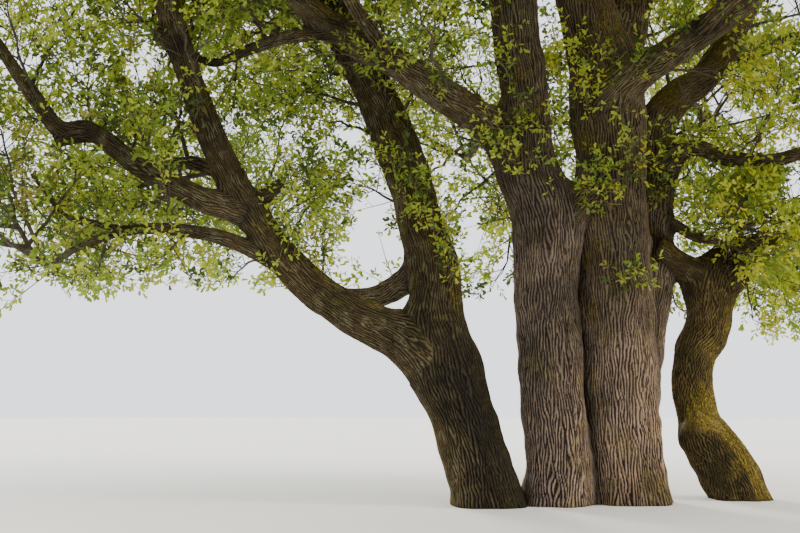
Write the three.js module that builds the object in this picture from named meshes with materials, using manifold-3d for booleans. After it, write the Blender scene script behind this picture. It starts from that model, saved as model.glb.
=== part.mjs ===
// An old oak that grows as a clump: four stems from one root, their boughs, and masses of young leaves.
// Millimetres, +Z up. X runs along the row of stems, and Y runs from its front to its back.
// The origin is the middle of the main stem's flat cut, at ground level.
import * as THREE from "three";
import { mergeVertices } from "three/addons/utils/BufferGeometryUtils.js";
import Module from "manifold-3d";

const wasm = await Module();
wasm.setup();

// Driving dimensions
const gap = 0.3; // between solids that touch
const groundCut = -300; // stems are made down to here, and cut flat at ground level
const boughStop = 1150; // a bough made for a mass ends this far before the middle of its space
const boughTaper = [1, 0.85, 0.6, 0.42]; // of its root radius, along such a bough
const stemSides = 12;
const boughSides = 7;
const ringStep = 800; // along a limb, the most between rings
const massClearance = 30; // from a mass to the spaces of its neighbours
const limbClearance = 40; // from twigs and leaves to limbs that they don't grow on
const stemTaper = [0.9, 0.76, 0.56, 0.3]; // of the limb's tip radius, along the stem of a mass
const stemRise = 0.25; // how much the stem of a mass turns up at the middle of its space
const stemFill = 0.72; // how far it then goes towards the edge of the space
const branchCount = 7; // side branches on the stem of a mass
const branchLean = 72; // degrees from the stem at its root, less towards its tip
const branchLeanFall = 34;
const branchRise = 0.12; // how much each branch turns up
const branchRadius = 26;
const branchFoot = 70; // from a branch's pointed root to its full radius
const branchLeast = 250; // shorter ones are left out
const branchFill = 0.62; // how far a side branch goes towards the edge of its space
const sprayLength = 1400; // one blade stands for a spray of leaves
const sprayLeast = 420; // shorter ones are left out
const sprayShrink = 0.86; // from one try at a spray to the next
const sprayWidth = 0.66; // of its length
const sprayThickness = 0.026; // of its length
const sprayWidest = 0.5; // of its length, from the root
const sprayRoot = 8; // how far the root is sunk past the middle of the twig
const spraySites = [0.42, 0.8]; // of the side sprays, along a side branch
const sprayTurn = THREE.MathUtils.degToRad(52); // of a side spray from its branch
const goldenTurn = THREE.MathUtils.degToRad(137.5);

const bronzeEvery = 4; // one mass in this many has bronze young leaves
const finishes = {
  bark: { color: 0x5d4f3f, roughness: 0.95, metalness: 0 },
  mossyBark: { color: 0x545033, roughness: 0.97, metalness: 0 },
  leaf: { color: 0x6f8a1f, roughness: 0.6, metalness: 0 },
  bronzeLeaf: { color: 0x86802a, roughness: 0.6, metalness: 0 },
};

// The four stems, from the ground to the mass that each one enters. A station is x, y, z and radius.
const stems = {
  stem_main: [
    [0, 0, 0, 455], [-60, 0, 580, 412], [-95, 20, 1360, 415], [-110, 50, 2600, 410], [-125, 80, 3680, 395],
    [-155, 100, 4400, 380], [-240, 100, 5030, 320], [-450, 110, 5870, 262], [-560, 300, 8600, 185],
    [-420, 700, 11000, 105], [-300, 900, 12300, 62],
  ],
  stem_mid: [
    [-850, -150, 0, 425], [-840, -150, 590, 370], [-895, -130, 1360, 358], [-935, -100, 2150, 355],
    [-945, -100, 3180, 368], [-1115, -100, 3800, 310], [-1130, -100, 4350, 290], [-1180, -150, 4950, 288],
    [-1260, -200, 5520, 272], [-1500, -400, 8000, 190], [-1750, -700, 10200, 80],
  ],
  stem_left: [
    [-1630, -330, 0, 405], [-1825, -320, 700, 352], [-2060, -250, 1420, 345], [-2185, -170, 2030, 322],
    [-2210, -50, 2650, 280], [-2450, 150, 3580, 264], [-2600, 300, 4090, 268], [-3130, 550, 5410, 250],
    [-3470, 650, 6080, 235], [-4000, 900, 7800, 165], [-4250, 1100, 8700, 105],
  ],
  stem_right: [
    [1350, 500, 0, 350], [1085, 500, 500, 305], [865, 480, 910, 272], [800, 460, 1320, 236],
    [865, 440, 1720, 250], [1005, 420, 2020, 262], [1055, 410, 2310, 258], [1110, 430, 2640, 240],
    [1420, 720, 2900, 165], [1900, 1150, 3120, 110], [2250, 1350, 3200, 78],
  ],
};

// Limbs that the front view shows. Each starts inside the limb that it grows on and is cut clear of it.
const boughs = {
  leader_back: [
    [-20, 230, 1100, 250], [200, 350, 1780, 272], [350, 500, 2620, 275], [440, 600, 3790, 270],
    [520, 620, 4420, 258], [760, 630, 4790, 212], [1230, 700, 5150, 175], [1700, 800, 5940, 160],
    [2300, 1100, 6900, 120], [3000, 1400, 7700, 80],
  ],
  leader_centre: [
    [-110, 100, 4400, 235], [60, 250, 5110, 203], [400, 450, 5940, 184], [800, 900, 8200, 130],
    [1250, 1500, 10200, 80],
  ],
  bough_left: [
    [-2060, -240, 1450, 300], [-2640, -260, 1840, 245], [-3220, -350, 2130, 216], [-3800, -450, 2610, 196],
    [-4340, -600, 3370, 168], [-4740, -800, 4230, 147], [-5080, -1100, 5310, 132], [-5350, -1350, 6500, 105],
    [-5650, -1600, 7400, 75],
  ],
  bough_left_long: [
    [-4300, -600, 3180, 150], [-4730, -700, 3300, 138], [-5360, -800, 3610, 114], [-5900, -900, 4000, 97],
    [-6250, -950, 4030, 84], [-6540, -1000, 4390, 65], [-6940, -1100, 4970, 48],
  ],
  bough_left_low: [
    [-4020, -480, 2680, 95], [-4500, -700, 2880, 80], [-5040, -900, 2950, 69], [-5560, -1000, 2900, 53],
    [-6010, -1200, 2670, 36],
  ],
  bough_left_rear: [
    [-2230, 0, 2740, 160], [-2660, 300, 2430, 140], [-2990, 600, 2360, 120], [-3500, 1350, 2500, 105],
    [-4050, 2250, 3050, 75],
  ],
  bough_cross: [
    [-960, -100, 3400, 240], [-1490, -200, 4160, 198], [-2200, -400, 4640, 187], [-2600, -500, 4900, 176],
    [-3050, -600, 5120, 178], [-3650, -850, 5470, 130], [-4150, -1400, 6100, 100], [-4600, -2100, 6800, 70],
  ],
  bough_cross_side: [
    [-3350, -720, 5230, 105], [-3910, -600, 5160, 73], [-4290, -500, 5060, 62], [-4760, -300, 4980, 50],
    [-5250, 50, 5350, 38],
  ],
  graft_arm: [
    [-900, -110, 2650, 190], [-770, -120, 3060, 215], [-520, -140, 3400, 180], [-300, -120, 3780, 165],
  ],
  bough_front_right: [
    [-290, -80, 4380, 235], [-30, -300, 4710, 202], [530, -600, 5050, 174], [1220, -1050, 5490, 141],
    [1900, -1650, 6200, 110], [2500, -2200, 6900, 80],
  ],
  bough_right: [
    [440, 470, 3620, 150], [740, 350, 4050, 108], [970, 300, 4110, 95], [1290, 200, 3970, 94],
    [1750, 0, 3900, 81], [2320, -200, 4090, 69], [3000, -400, 4500, 58], [3600, -600, 4750, 46],
  ],
  bough_right_low: [
    [420, 420, 3380, 85], [670, 300, 3190, 62], [860, 200, 3030, 56], [1050, 120, 2980, 46],
  ],
  arm_right: [
    [1060, 400, 2380, 175], [800, 310, 2640, 165], [560, 240, 2780, 150], [380, 180, 2900, 140],
  ],
};

// Masses of foliage. A mass grows from the tip of the limb named by on, or from a bough of its own, of root
// radius bough, that leaves the limb named by from at the height leave. Its space is an ellipsoid.
const masses = {
  low_left: { on: "bough_left_low", centre: [-6900, -1300, 3250], reach: [2000, 1900, 1250] },
  far_left: { on: "bough_left_long", centre: [-7900, -900, 5500], reach: [2200, 2300, 1900] },
  upper_left: { on: "bough_left", centre: [-6500, -1800, 8500], reach: [2400, 2300, 1900] },
  rear_left: { on: "bough_left_rear", centre: [-4900, 3500, 4200], reach: [2200, 2100, 1700] },
  inner_left: { on: "bough_cross_side", centre: [-5800, 400, 6300], reach: [1700, 1500, 1300] },
  cross: { on: "bough_cross", centre: [-5000, -3300, 7000], reach: [2200, 2300, 1900] },
  left_top: { on: "stem_left", centre: [-4900, 1400, 10200], reach: [2500, 2400, 2000] },
  mid_top: { on: "stem_mid", centre: [-2300, -1300, 11900], reach: [2600, 2400, 2000] },
  top: { on: "stem_main", centre: [-100, 1000, 13200], reach: [2600, 2500, 1800] },
  centre_top: { on: "leader_centre", centre: [2300, 1900, 11500], reach: [2600, 2400, 2100] },
  front_right: { on: "bough_front_right", centre: [3400, -2900, 7800], reach: [2400, 2300, 2000] },
  back_right: { on: "leader_back", centre: [4600, 1900, 9000], reach: [2500, 2400, 2100] },
  right: { on: "bough_right", centre: [4700, -900, 5100], reach: [2300, 2100, 1700] },
  right_small: { on: "bough_right_low", centre: [1500, -50, 3150], reach: [900, 800, 620] },
  right_low: { on: "stem_right", centre: [3200, 1600, 3100], reach: [1800, 1700, 1300] },
  left_behind: {
    from: "bough_left", leave: 3300, bough: 95, centre: [-6300, 1700, 4000], reach: [2100, 2000, 1500],
  },
  front_mid: {
    from: "stem_mid", leave: 6400, bough: 130, centre: [-1700, -4500, 8600], reach: [2400, 2300, 1900],
  },
  back_low: {
    from: "stem_mid", leave: 3350, bough: 110, centre: [-1700, 4500, 5300], reach: [2200, 2200, 1700],
  },
  back_side: {
    from: "leader_back", leave: 3900, bough: 120, centre: [2500, 4800, 5700], reach: [2300, 2200, 1800],
  },
  back_high: {
    from: "stem_main", leave: 6200, bough: 130, centre: [-700, 4300, 9200], reach: [2500, 2300, 2100],
  },
  back_left: {
    from: "stem_left", leave: 4700, bough: 120, centre: [-4700, 4900, 7300], reach: [2400, 2300, 2000],
  },
  far_right: {
    from: "leader_back", leave: 5300, bough: 110, centre: [5900, 3200, 6200], reach: [2300, 2300, 1900],
  },
  front_left: {
    from: "bough_cross", leave: 5000, bough: 90, centre: [-3300, -5300, 6200], reach: [2100, 2000, 1600],
  },
  front_side: {
    from: "bough_front_right", leave: 5300, bough: 95, centre: [1300, -5000, 6300], reach: [2200, 2100, 1700],
  },
  right_front: {
    from: "bough_front_right", leave: 6000, bough: 85, centre: [5000, -3900, 5900], reach: [2000, 2000, 1700],
  },
  front_top: {
    from: "stem_main", leave: 8200, bough: 120, centre: [1200, -1800, 10600], reach: [2400, 2300, 2000],
  },
};

const massNames = Object.keys(masses);
const powers = {};
for (const name of massNames) {
  const { reach } = masses[name];
  powers[name] = ((reach[0] + reach[1] + reach[2]) / 3) ** 2;
}

const vector = (a) => new THREE.Vector3(a[0], a[1], a[2]);

// A number from 0 to 1 that is always the same for the same n.
function dice(n) {
  const x = Math.sin(n * 12.9898 + 78.233) * 43758.5453;
  return x - Math.floor(x);
}

// A smooth limb through its stations, as evenly spaced rings, each with a place, a radius and a direction.
function limbRings(stations) {
  const curve = new THREE.CatmullRomCurve3(stations.map(vector), false, "catmullrom", 0.5);
  const count = Math.max(stations.length - 1, Math.round(curve.getLength() / ringStep));
  const rings = [];
  for (let i = 0; i <= count; i++) {
    const t = curve.getUtoTmapping(i / count);
    const along = t * (stations.length - 1);
    const k = Math.min(Math.floor(along), stations.length - 2);
    const radius = THREE.MathUtils.lerp(stations[k][3], stations[k + 1][3], along - k);
    rings.push({ place: curve.getPoint(t), radius, direction: curve.getTangent(t) });
  }
  return rings;
}

// A closed solid from rings of points, with a cap at each end. An end ring of one point is a tip.
function solidFromRings(rings) {
  const faces = [];
  let a = 0;
  for (let i = 0; i + 1 < rings.length; i++) {
    const [m, n] = [rings[i].length, rings[i + 1].length];
    const b = a + m;
    const sides = Math.max(m, n);
    for (let k = 0; k < sides; k++) {
      const next = (k + 1) % sides;
      if (m > 1) faces.push(a + k, a + next, n > 1 ? b + next : b);
      if (n > 1) faces.push(m > 1 ? a + k : a, b + next, b + k);
    }
    a = b;
  }
  for (let k = 1; k + 1 < rings[0].length; k++) faces.push(0, k + 1, k);
  for (let k = 1; k + 1 < rings.at(-1).length; k++) faces.push(a, a + k, a + k + 1);
  return solidOf(new THREE.BufferGeometry().setFromPoints(rings.flat()).setIndex(faces));
}

function solidOf(geometry) {
  const { attributes, index } = mergeVertices(geometry);
  const vertProperties = attributes.position.array;
  const triVerts = new Uint32Array(index.array);
  return new wasm.Manifold(new wasm.Mesh({ numProp: 3, vertProperties, triVerts }));
}

// A tapering tube round a limb's rings, with every radius larger by extra.
function limbSolid(rings, sides, extra = 0) {
  const side = new THREE.Vector3(1, 0, 0);
  if (Math.abs(rings[0].direction.x) > 0.8) side.set(0, 1, 0);
  const circles = rings.map(({ place, radius, direction }) => {
    side.addScaledVector(direction, -side.dot(direction)).normalize();
    const up = direction.clone().cross(side);
    const circle = [];
    for (let k = 0; k < sides; k++) {
      const angle = (2 * Math.PI * k) / sides;
      const arm = (radius + extra) / Math.cos(Math.PI / sides) ** 0.5;
      const p = place.clone().addScaledVector(side, arm * Math.cos(angle));
      circle.push(p.addScaledVector(up, arm * Math.sin(angle)));
    }
    return circle;
  });
  return solidFromRings(circles);
}

// The largest body of a solid, with any sealed hollow filled and loose scraps dropped.
function mainBody(solid) {
  return solid.decompose().reduce((best, body) => (body.volume() > best.volume() ? body : best));
}

function boxesMeet(a, b) {
  const [p, q] = [a.boundingBox(), b.boundingBox()];
  return [0, 1, 2].every((k) => p.min[k] <= q.max[k] && q.min[k] <= p.max[k]);
}

// The rings of a stem go on below the ground, so that the cut at ground level is flat.
function stemStations(stations) {
  const [a, b] = stations;
  const share = groundCut / (b[2] - a[2]);
  return [[a[0] + (b[0] - a[0]) * share, a[1] + (b[1] - a[1]) * share, groundCut, a[3]], ...stations];
}

// A bough from a place on its parent limb to the edge of the inner part of its mass.
function boughToMass({ from, leave, bough, centre }) {
  const parent = limbs.get(from).rings;
  const start = parent.reduce((best, ring) =>
    Math.abs(ring.place.z - leave) < Math.abs(best.place.z - leave) ? ring : best,
  );
  const middle = vector(centre);
  const out = middle.clone().sub(start.place);
  const end = middle.clone().addScaledVector(out, -boughStop / out.length());
  const span = end.distanceTo(start.place);
  const first = start.place.clone().addScaledVector(start.direction, span * 0.1).addScaledVector(out, 0.24);
  const second = start.place.clone().addScaledVector(out, 0.62);
  second.z += span * 0.09;
  const places = [start.place, first, second, end];
  return places.map((p, i) => [...p.toArray(), bough * boughTaper[i]]);
}

// Every limb in turn, each cut clear of those before it.
const limbs = new Map();
function addLimb(name, stations, sides, finish, isStem = false) {
  const rings = limbRings(isStem ? stemStations(stations) : stations);
  let solid = limbSolid(rings, sides);
  const grown = limbSolid(rings, sides, gap);
  const clear = limbSolid(rings, sides, limbClearance);
  if (isStem) solid = solid.trimByPlane([0, 0, 1], 0);
  for (const other of limbs.values()) {
    if (boxesMeet(solid, other.grown)) solid = solid.subtract(other.grown);
  }
  limbs.set(name, { rings, grown, clear, solid: mainBody(solid), finish });
}
for (const [name, stations] of Object.entries(stems)) {
  addLimb(name, stations, stemSides, name === "stem_right" ? "mossyBark" : "bark", true);
}
for (const [name, stations] of Object.entries(boughs)) {
  addLimb(name, stations, name.startsWith("leader") ? stemSides : boughSides, "bark");
}
for (const [name, mass] of Object.entries(masses)) {
  if (mass.from) {
    addLimb("bough_" + name, boughToMass(mass), boughSides, "bark");
    mass.on = "bough_" + name;
  }
}

// The planes that part a mass's space from its neighbours': a point p is inside where normal . p <= level.
function partingPlanes(name) {
  const centre = vector(masses[name].centre);
  return massNames
    .filter((other) => other !== name)
    .map((other) => {
      const to = vector(masses[other].centre);
      const normal = to.clone().sub(centre);
      const apart = normal.length();
      normal.normalize();
      const level = (to.lengthSq() - powers[other] - centre.lengthSq() + powers[name]) / (2 * apart);
      return { normal, level: level - massClearance };
    });
}

function isInside(space, p) {
  const d = p.clone().sub(space.centre).divide(space.reach);
  return d.lengthSq() <= 1 && space.planes.every(({ normal, level }) => normal.dot(p) <= level);
}

// How far it is from p along direction to the edge of the space.
function roomAhead(space, p, direction) {
  const d = p.clone().sub(space.centre).divide(space.reach);
  const u = direction.clone().divide(space.reach);
  const b = d.dot(u);
  const inside = 1 - d.lengthSq();
  if (inside <= 0) return 0;
  let room = (-b + Math.sqrt(b * b + u.lengthSq() * inside)) / u.lengthSq();
  for (const { normal, level } of space.planes) {
    const towards = normal.dot(direction);
    if (towards > 1e-6) room = Math.min(room, (level - normal.dot(p)) / towards);
  }
  return Math.max(room, 0);
}

// Whether a piece of a mass comes within the clearance of a limb.
function touchesLimb(piece, except) {
  for (const [name, { clear }] of limbs) {
    if (name !== except && boxesMeet(piece, clear) && !piece.intersect(clear).isEmpty()) return true;
  }
  return false;
}

// Three points round p, square to direction: one on the side of face and one to each hand.
function twigRing(p, direction, face, radius) {
  const hand = face.clone().cross(direction).normalize();
  const up = direction.clone().cross(hand);
  return [
    p.clone().addScaledVector(up, radius),
    p.clone().addScaledVector(up, -radius / 2).addScaledVector(hand, -radius * 0.87),
    p.clone().addScaledVector(up, -radius / 2).addScaledVector(hand, radius * 0.87),
  ];
}

// A spray of leaves is one blade with a ridge on the side of face. These are its widest ring and its tip.
function sprayRings(root, direction, face, length) {
  const hand = face.clone().cross(direction).normalize();
  const middle = root.clone().addScaledVector(direction, length * sprayWidest);
  const half = (length * sprayWidth) / 2;
  const widest = [
    middle.clone().addScaledVector(face, length * sprayThickness),
    middle.clone().addScaledVector(hand, -half),
    middle.clone().addScaledVector(hand, half),
  ];
  return [widest, [root.clone().addScaledVector(direction, length)]];
}

// The rings given, closed with the largest spray that stays in the space and off the limbs, or nothing.
function growSpray(space, rings, root, direction, face, most, except) {
  const first = Math.min(most, roomAhead(space, root, direction) * 0.98);
  for (let length = first; length >= sprayLeast; length *= sprayShrink) {
    const [widest, end] = sprayRings(root, direction, face, length);
    if (![widest[1], widest[2], end[0]].every((p) => isInside(space, p))) continue;
    const piece = solidFromRings([...rings, widest, end]);
    if (!touchesLimb(piece, except)) return piece;
  }
  return null;
}

// The stem of a mass runs from its limb's tip through the middle of its space, and bends up a little.
function massStem(space, tip) {
  const start = tip.place.clone().addScaledVector(tip.direction, gap);
  const middle = space.centre.clone().lerp(start, 0.25);
  const onward = space.centre.clone().sub(start).normalize();
  onward.z += stemRise;
  onward.normalize();
  const room = roomAhead(space, space.centre, onward);
  const end = space.centre.clone().addScaledVector(onward, room * stemFill);
  const lead = start.clone().addScaledVector(tip.direction, start.distanceTo(middle) * 0.4);
  return [start, lead, middle, end];
}

// Side branches turn round the stem by the golden angle and go most of the way to the edge of the space.
function sideBranches(space, stem, seed) {
  const branches = [];
  for (let i = 0; i < branchCount; i++) {
    const t = 0.2 + (0.8 * (i + 0.6 * dice(seed + i))) / branchCount;
    const k = Math.min(Math.floor(t * 3), 2);
    const root = stem[k].clone().lerp(stem[k + 1], t * 3 - k);
    const along = stem[k + 1].clone().sub(stem[k]).normalize();
    const side = new THREE.Vector3(0, 0, 1).cross(along).normalize();
    const up = along.clone().cross(side);
    const around = i * goldenTurn + seed;
    const lean = THREE.MathUtils.degToRad(branchLean - branchLeanFall * t + 12 * dice(seed + i + 40));
    const direction = along
      .clone()
      .multiplyScalar(Math.cos(lean))
      .addScaledVector(side, Math.sin(lean) * Math.cos(around))
      .addScaledVector(up, Math.sin(lean) * Math.sin(around));
    direction.z += branchRise;
    direction.normalize();
    const length = roomAhead(space, root, direction) * branchFill;
    branches.push({ root, direction, length });
  }
  return branches;
}

// A direction near up, square to direction: the side that a spray shows to the light.
function lightSide(direction, n) {
  const face = new THREE.Vector3(dice(n) - 0.5, dice(n + 0.37) - 0.5, 1.1);
  return face.addScaledVector(direction, -face.dot(direction)).normalize();
}

// The stem of a mass as a solid, with a spray at its end.
function stemPiece(space, stem, tip, seed) {
  const upright = new THREE.Vector3(0.3, 0.2, 1);
  const rings = stem.map((p, i) => {
    const along = i ? stem[Math.min(i + 1, 3)].clone().sub(stem[i - 1]).normalize() : tip.direction;
    return twigRing(p, along, upright, tip.radius * stemTaper[i]);
  });
  const onward = stem[3].clone().sub(stem[2]).normalize();
  const face = lightSide(onward, seed);
  return growSpray(space, rings, stem[3], onward, face, sprayLength, space.on) ?? solidFromRings(rings);
}

// The sprays to both sides of a branch, as solids whose pointed roots are sunk through its middle.
function sidePieces(space, { root, direction, length }, face, seed, i) {
  const hand = face.clone().cross(direction).normalize();
  return spraySites.map((site, j) => {
    const turn = sprayTurn * ((i + j) % 2 ? 1 : -1);
    const out = direction.clone().multiplyScalar(Math.cos(turn)).addScaledVector(hand, Math.sin(turn));
    const start = root.clone().addScaledVector(direction, length * site).addScaledVector(out, -sprayRoot);
    const most = sprayLength * (0.85 + 0.3 * dice(seed + 7 * i + j));
    return growSpray(space, [[start]], start, out, lightSide(out, seed + 3 * i + j), most);
  });
}

// A mass as one solid: its stem, and side branches that each end in a spray and have sprays to both sides.
function massSolid(name, seed) {
  const { on, centre, reach } = masses[name];
  const space = { on, centre: vector(centre), reach: vector(reach), planes: partingPlanes(name) };
  const tip = limbs.get(on).rings.at(-1);
  const stem = massStem(space, tip);
  const pieces = [stemPiece(space, stem, tip, seed)];
  sideBranches(space, stem, seed).forEach((branch, i) => {
    const { root, direction, length } = branch;
    if (length < branchLeast) return;
    const face = lightSide(direction, seed + i);
    const foot = root.clone().addScaledVector(direction, branchFoot);
    const end = root.clone().addScaledVector(direction, length);
    const rings = [
      [root],
      twigRing(foot, direction, face, branchRadius),
      twigRing(end, direction, face, branchRadius * 0.6),
    ];
    const twig = solidFromRings(rings);
    if (touchesLimb(twig)) return;
    pieces.push(growSpray(space, rings, end, direction, face, sprayLength) ?? twig);
    pieces.push(...sidePieces(space, branch, face, seed, i));
  });
  return mainBody(wasm.Manifold.union(pieces.filter((piece) => piece)));
}

function geometryOf(solid) {
  const { vertProperties, triVerts } = solid.getMesh();
  const geometry = new THREE.BufferGeometry();
  geometry.setAttribute("position", new THREE.BufferAttribute(vertProperties, 3));
  geometry.setIndex(new THREE.BufferAttribute(triVerts, 1));
  geometry.computeVertexNormals();
  return geometry;
}

function namedMesh(name, solid, finish) {
  const mesh = new THREE.Mesh(geometryOf(solid), new THREE.MeshStandardMaterial(finishes[finish]));
  mesh.name = name;
  return mesh;
}

const wood = new THREE.Group();
for (const [name, { solid, finish }] of limbs) wood.add(namedMesh(name, solid, finish));

const foliage = new THREE.Group();
massNames.forEach((name, i) => {
  const finish = i % bronzeEvery === 0 ? "bronzeLeaf" : "leaf";
  foliage.add(namedMesh("foliage_" + name, massSolid(name, 10 * (i + 1)), finish));
});

const oak = new THREE.Group();
oak.add(wood, foliage);

export default oak;
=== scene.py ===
# An old oak that grows as a clump of four stems, in young leaf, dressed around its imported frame.
import math

import bpy
import numpy as np
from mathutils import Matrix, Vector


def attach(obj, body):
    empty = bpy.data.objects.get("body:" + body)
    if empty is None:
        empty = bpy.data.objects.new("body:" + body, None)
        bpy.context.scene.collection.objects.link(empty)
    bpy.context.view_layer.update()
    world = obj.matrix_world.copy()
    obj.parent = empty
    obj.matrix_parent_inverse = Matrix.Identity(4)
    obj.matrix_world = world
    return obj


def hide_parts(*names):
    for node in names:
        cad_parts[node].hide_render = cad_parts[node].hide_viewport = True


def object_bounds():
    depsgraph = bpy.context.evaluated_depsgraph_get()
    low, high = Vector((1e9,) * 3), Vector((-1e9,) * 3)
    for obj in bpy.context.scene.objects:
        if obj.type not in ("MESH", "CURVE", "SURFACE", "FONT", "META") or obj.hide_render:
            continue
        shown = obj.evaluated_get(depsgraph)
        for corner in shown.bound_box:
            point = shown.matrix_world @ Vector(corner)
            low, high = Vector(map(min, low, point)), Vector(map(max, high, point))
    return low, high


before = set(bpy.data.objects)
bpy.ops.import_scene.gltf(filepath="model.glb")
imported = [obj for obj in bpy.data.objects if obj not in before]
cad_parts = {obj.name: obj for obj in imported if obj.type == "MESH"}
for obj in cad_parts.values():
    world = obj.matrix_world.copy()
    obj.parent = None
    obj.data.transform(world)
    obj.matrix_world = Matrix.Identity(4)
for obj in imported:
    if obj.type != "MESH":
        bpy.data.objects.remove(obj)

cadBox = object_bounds()
mm = 0.001
up = np.array([0.0, 0.0, 1.0])
farOff = 9.0            # metres, a gap wider than any that is asked about
endless = 99.0          # metres, for a way that nothing stops
pointsAtOnce = 20000    # as many as are measured to a limb in one go

# Limbs: stations of x, y, z and radius in millimetres. They are the solids' stations, but for a few that are
# moved a little to fit the photo better
stems = {
    "stem_main": [
        (0, 0, 0, 455), (-60, 0, 580, 412), (-95, 20, 1360, 415), (-110, 50, 2600, 410),
        (-125, 80, 3680, 395), (-155, 100, 4400, 380), (-240, 100, 5030, 330), (-410, 110, 5870, 306),
        (-560, 300, 8600, 185), (-420, 700, 11000, 105), (-300, 900, 12300, 62)],
    "stem_mid": [
        (-850, -150, 0, 425), (-840, -150, 590, 370), (-895, -130, 1360, 358), (-935, -100, 2150, 355),
        (-945, -100, 3180, 368), (-1115, -100, 3800, 310), (-1130, -100, 4350, 290), (-1180, -150, 4950, 288),
        (-1260, -200, 5520, 272), (-1500, -400, 8000, 190), (-1750, -700, 10200, 80)],
    "stem_left": [
        (-1630, -330, 0, 405), (-1825, -320, 700, 352), (-2060, -250, 1420, 345), (-2185, -170, 2030, 322),
        (-2210, -50, 2650, 280), (-2450, 150, 3580, 264), (-2600, 300, 4090, 268), (-3130, 550, 5410, 250),
        (-3470, 650, 6080, 235), (-4000, 900, 7800, 165), (-4250, 1100, 8700, 105)],
    "stem_right": [
        (1370, 500, 0, 345), (1120, 500, 480, 330), (960, 490, 740, 292), (890, 475, 950, 236),
        (835, 460, 1330, 230), (880, 440, 1680, 248), (1010, 425, 1920, 268), (1060, 410, 2160, 252),
        (1050, 410, 2360, 262), (1090, 430, 2600, 245),
        (1420, 720, 2900, 165), (1900, 1150, 3120, 110), (2250, 1350, 3200, 78)],
}
boughs = {
    "leader_back": [
        (-20, 200, 1100, 250), (200, 260, 1780, 280), (350, 390, 2620, 285), (440, 560, 3790, 270),
        (520, 620, 4420, 258), (760, 630, 4790, 212), (1230, 700, 5150, 175), (1700, 800, 5940, 160),
        (2300, 1100, 6900, 120), (3000, 1400, 7700, 80)],
    "leader_centre": [
        (-110, 100, 4400, 235), (10, 250, 5110, 245), (250, 430, 5940, 250), (760, 900, 8200, 145),
        (1250, 1500, 10200, 80)],
    "bough_left": [
        (-2060, -240, 1450, 300), (-2640, -260, 1840, 245), (-3220, -350, 2130, 216),
        (-3800, -450, 2610, 196), (-4340, -600, 3370, 168), (-4740, -800, 4230, 147),
        (-5080, -1100, 5310, 132), (-5350, -1350, 6500, 105), (-5650, -1600, 7400, 75)],
    "bough_left_long": [
        (-4300, -600, 3180, 150), (-4730, -700, 3300, 138), (-5360, -800, 3610, 114), (-5900, -900, 4000, 97),
        (-6250, -950, 4030, 98), (-6540, -1000, 4390, 82), (-6940, -1100, 4970, 60)],
    "bough_left_low": [
        (-4020, -480, 2680, 95), (-4500, -700, 2880, 80), (-5040, -900, 2950, 69), (-5560, -1000, 2900, 53),
        (-6010, -1200, 2670, 36)],
    "bough_left_rear": [
        (-2230, 0, 2740, 160), (-2660, 300, 2430, 140), (-2990, 600, 2360, 120), (-3500, 1350, 2500, 105),
        (-4050, 2250, 3050, 75)],
    "bough_cross": [
        (-960, -100, 3400, 240), (-1490, -200, 4160, 198), (-2200, -400, 4640, 187),
        (-2600, -500, 4900, 176), (-3050, -600, 5120, 178), (-3650, -850, 5470, 130),
        (-4150, -1400, 6100, 100), (-4600, -2100, 6800, 70)],
    "bough_cross_side": [
        (-3350, -720, 5230, 105), (-3910, -600, 5160, 73), (-4290, -500, 5060, 62), (-4760, -300, 4980, 50),
        (-5250, 50, 5350, 38)],
    "graft_arm": [
        (-900, -110, 2650, 190), (-770, -120, 3060, 215), (-520, -140, 3400, 180), (-300, -120, 3780, 165)],
    "bough_front_right": [
        (-230, 70, 4310, 215), (-30, -300, 4710, 202), (530, -600, 5050, 174), (1220, -1050, 5490, 141),
        (1900, -1650, 6200, 110), (2500, -2200, 6900, 80)],
    "bough_right": [
        (440, 470, 3620, 150), (740, 350, 4050, 108), (970, 300, 4110, 95), (1290, 200, 3970, 94),
        (1750, 0, 3900, 81), (2320, -200, 4090, 69), (3000, -400, 4500, 58), (3600, -600, 4750, 46)],
    "bough_right_low": [
        (420, 420, 3380, 85), (670, 300, 3190, 62), (860, 200, 3030, 56), (1050, 120, 2980, 46)],
    "arm_right": [
        (1060, 400, 2380, 175), (800, 310, 2640, 165), (560, 240, 2780, 150), (380, 180, 2900, 140)],
}

# Short dead stubs and one side branch, which only this scene has, in the same form
stubs = {
    "stub_high": [(-5010, -1050, 4930, 95), (-5120, -1085, 4985, 82), (-5220, -1105, 5035, 72)],
    "stub_elbow": [(-5980, -910, 4010, 90), (-6130, -930, 3960, 84), (-6290, -950, 3880, 62)],
    "stub_right": [(1120, 440, 2440, 200), (1320, 420, 2530, 180), (1500, 410, 2615, 122)],
    "stub_fork": [(-4230, -560, 3250, 95), (-4050, -540, 3400, 80), (-3900, -530, 3530, 62)],
    "stub_side": [
        (-5540, -970, 2930, 42), (-5850, -960, 3010, 36), (-6150, -980, 3080, 31), (-6330, -1000, 3290, 26),
        (-6510, -1030, 3520, 18)],
}

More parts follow.
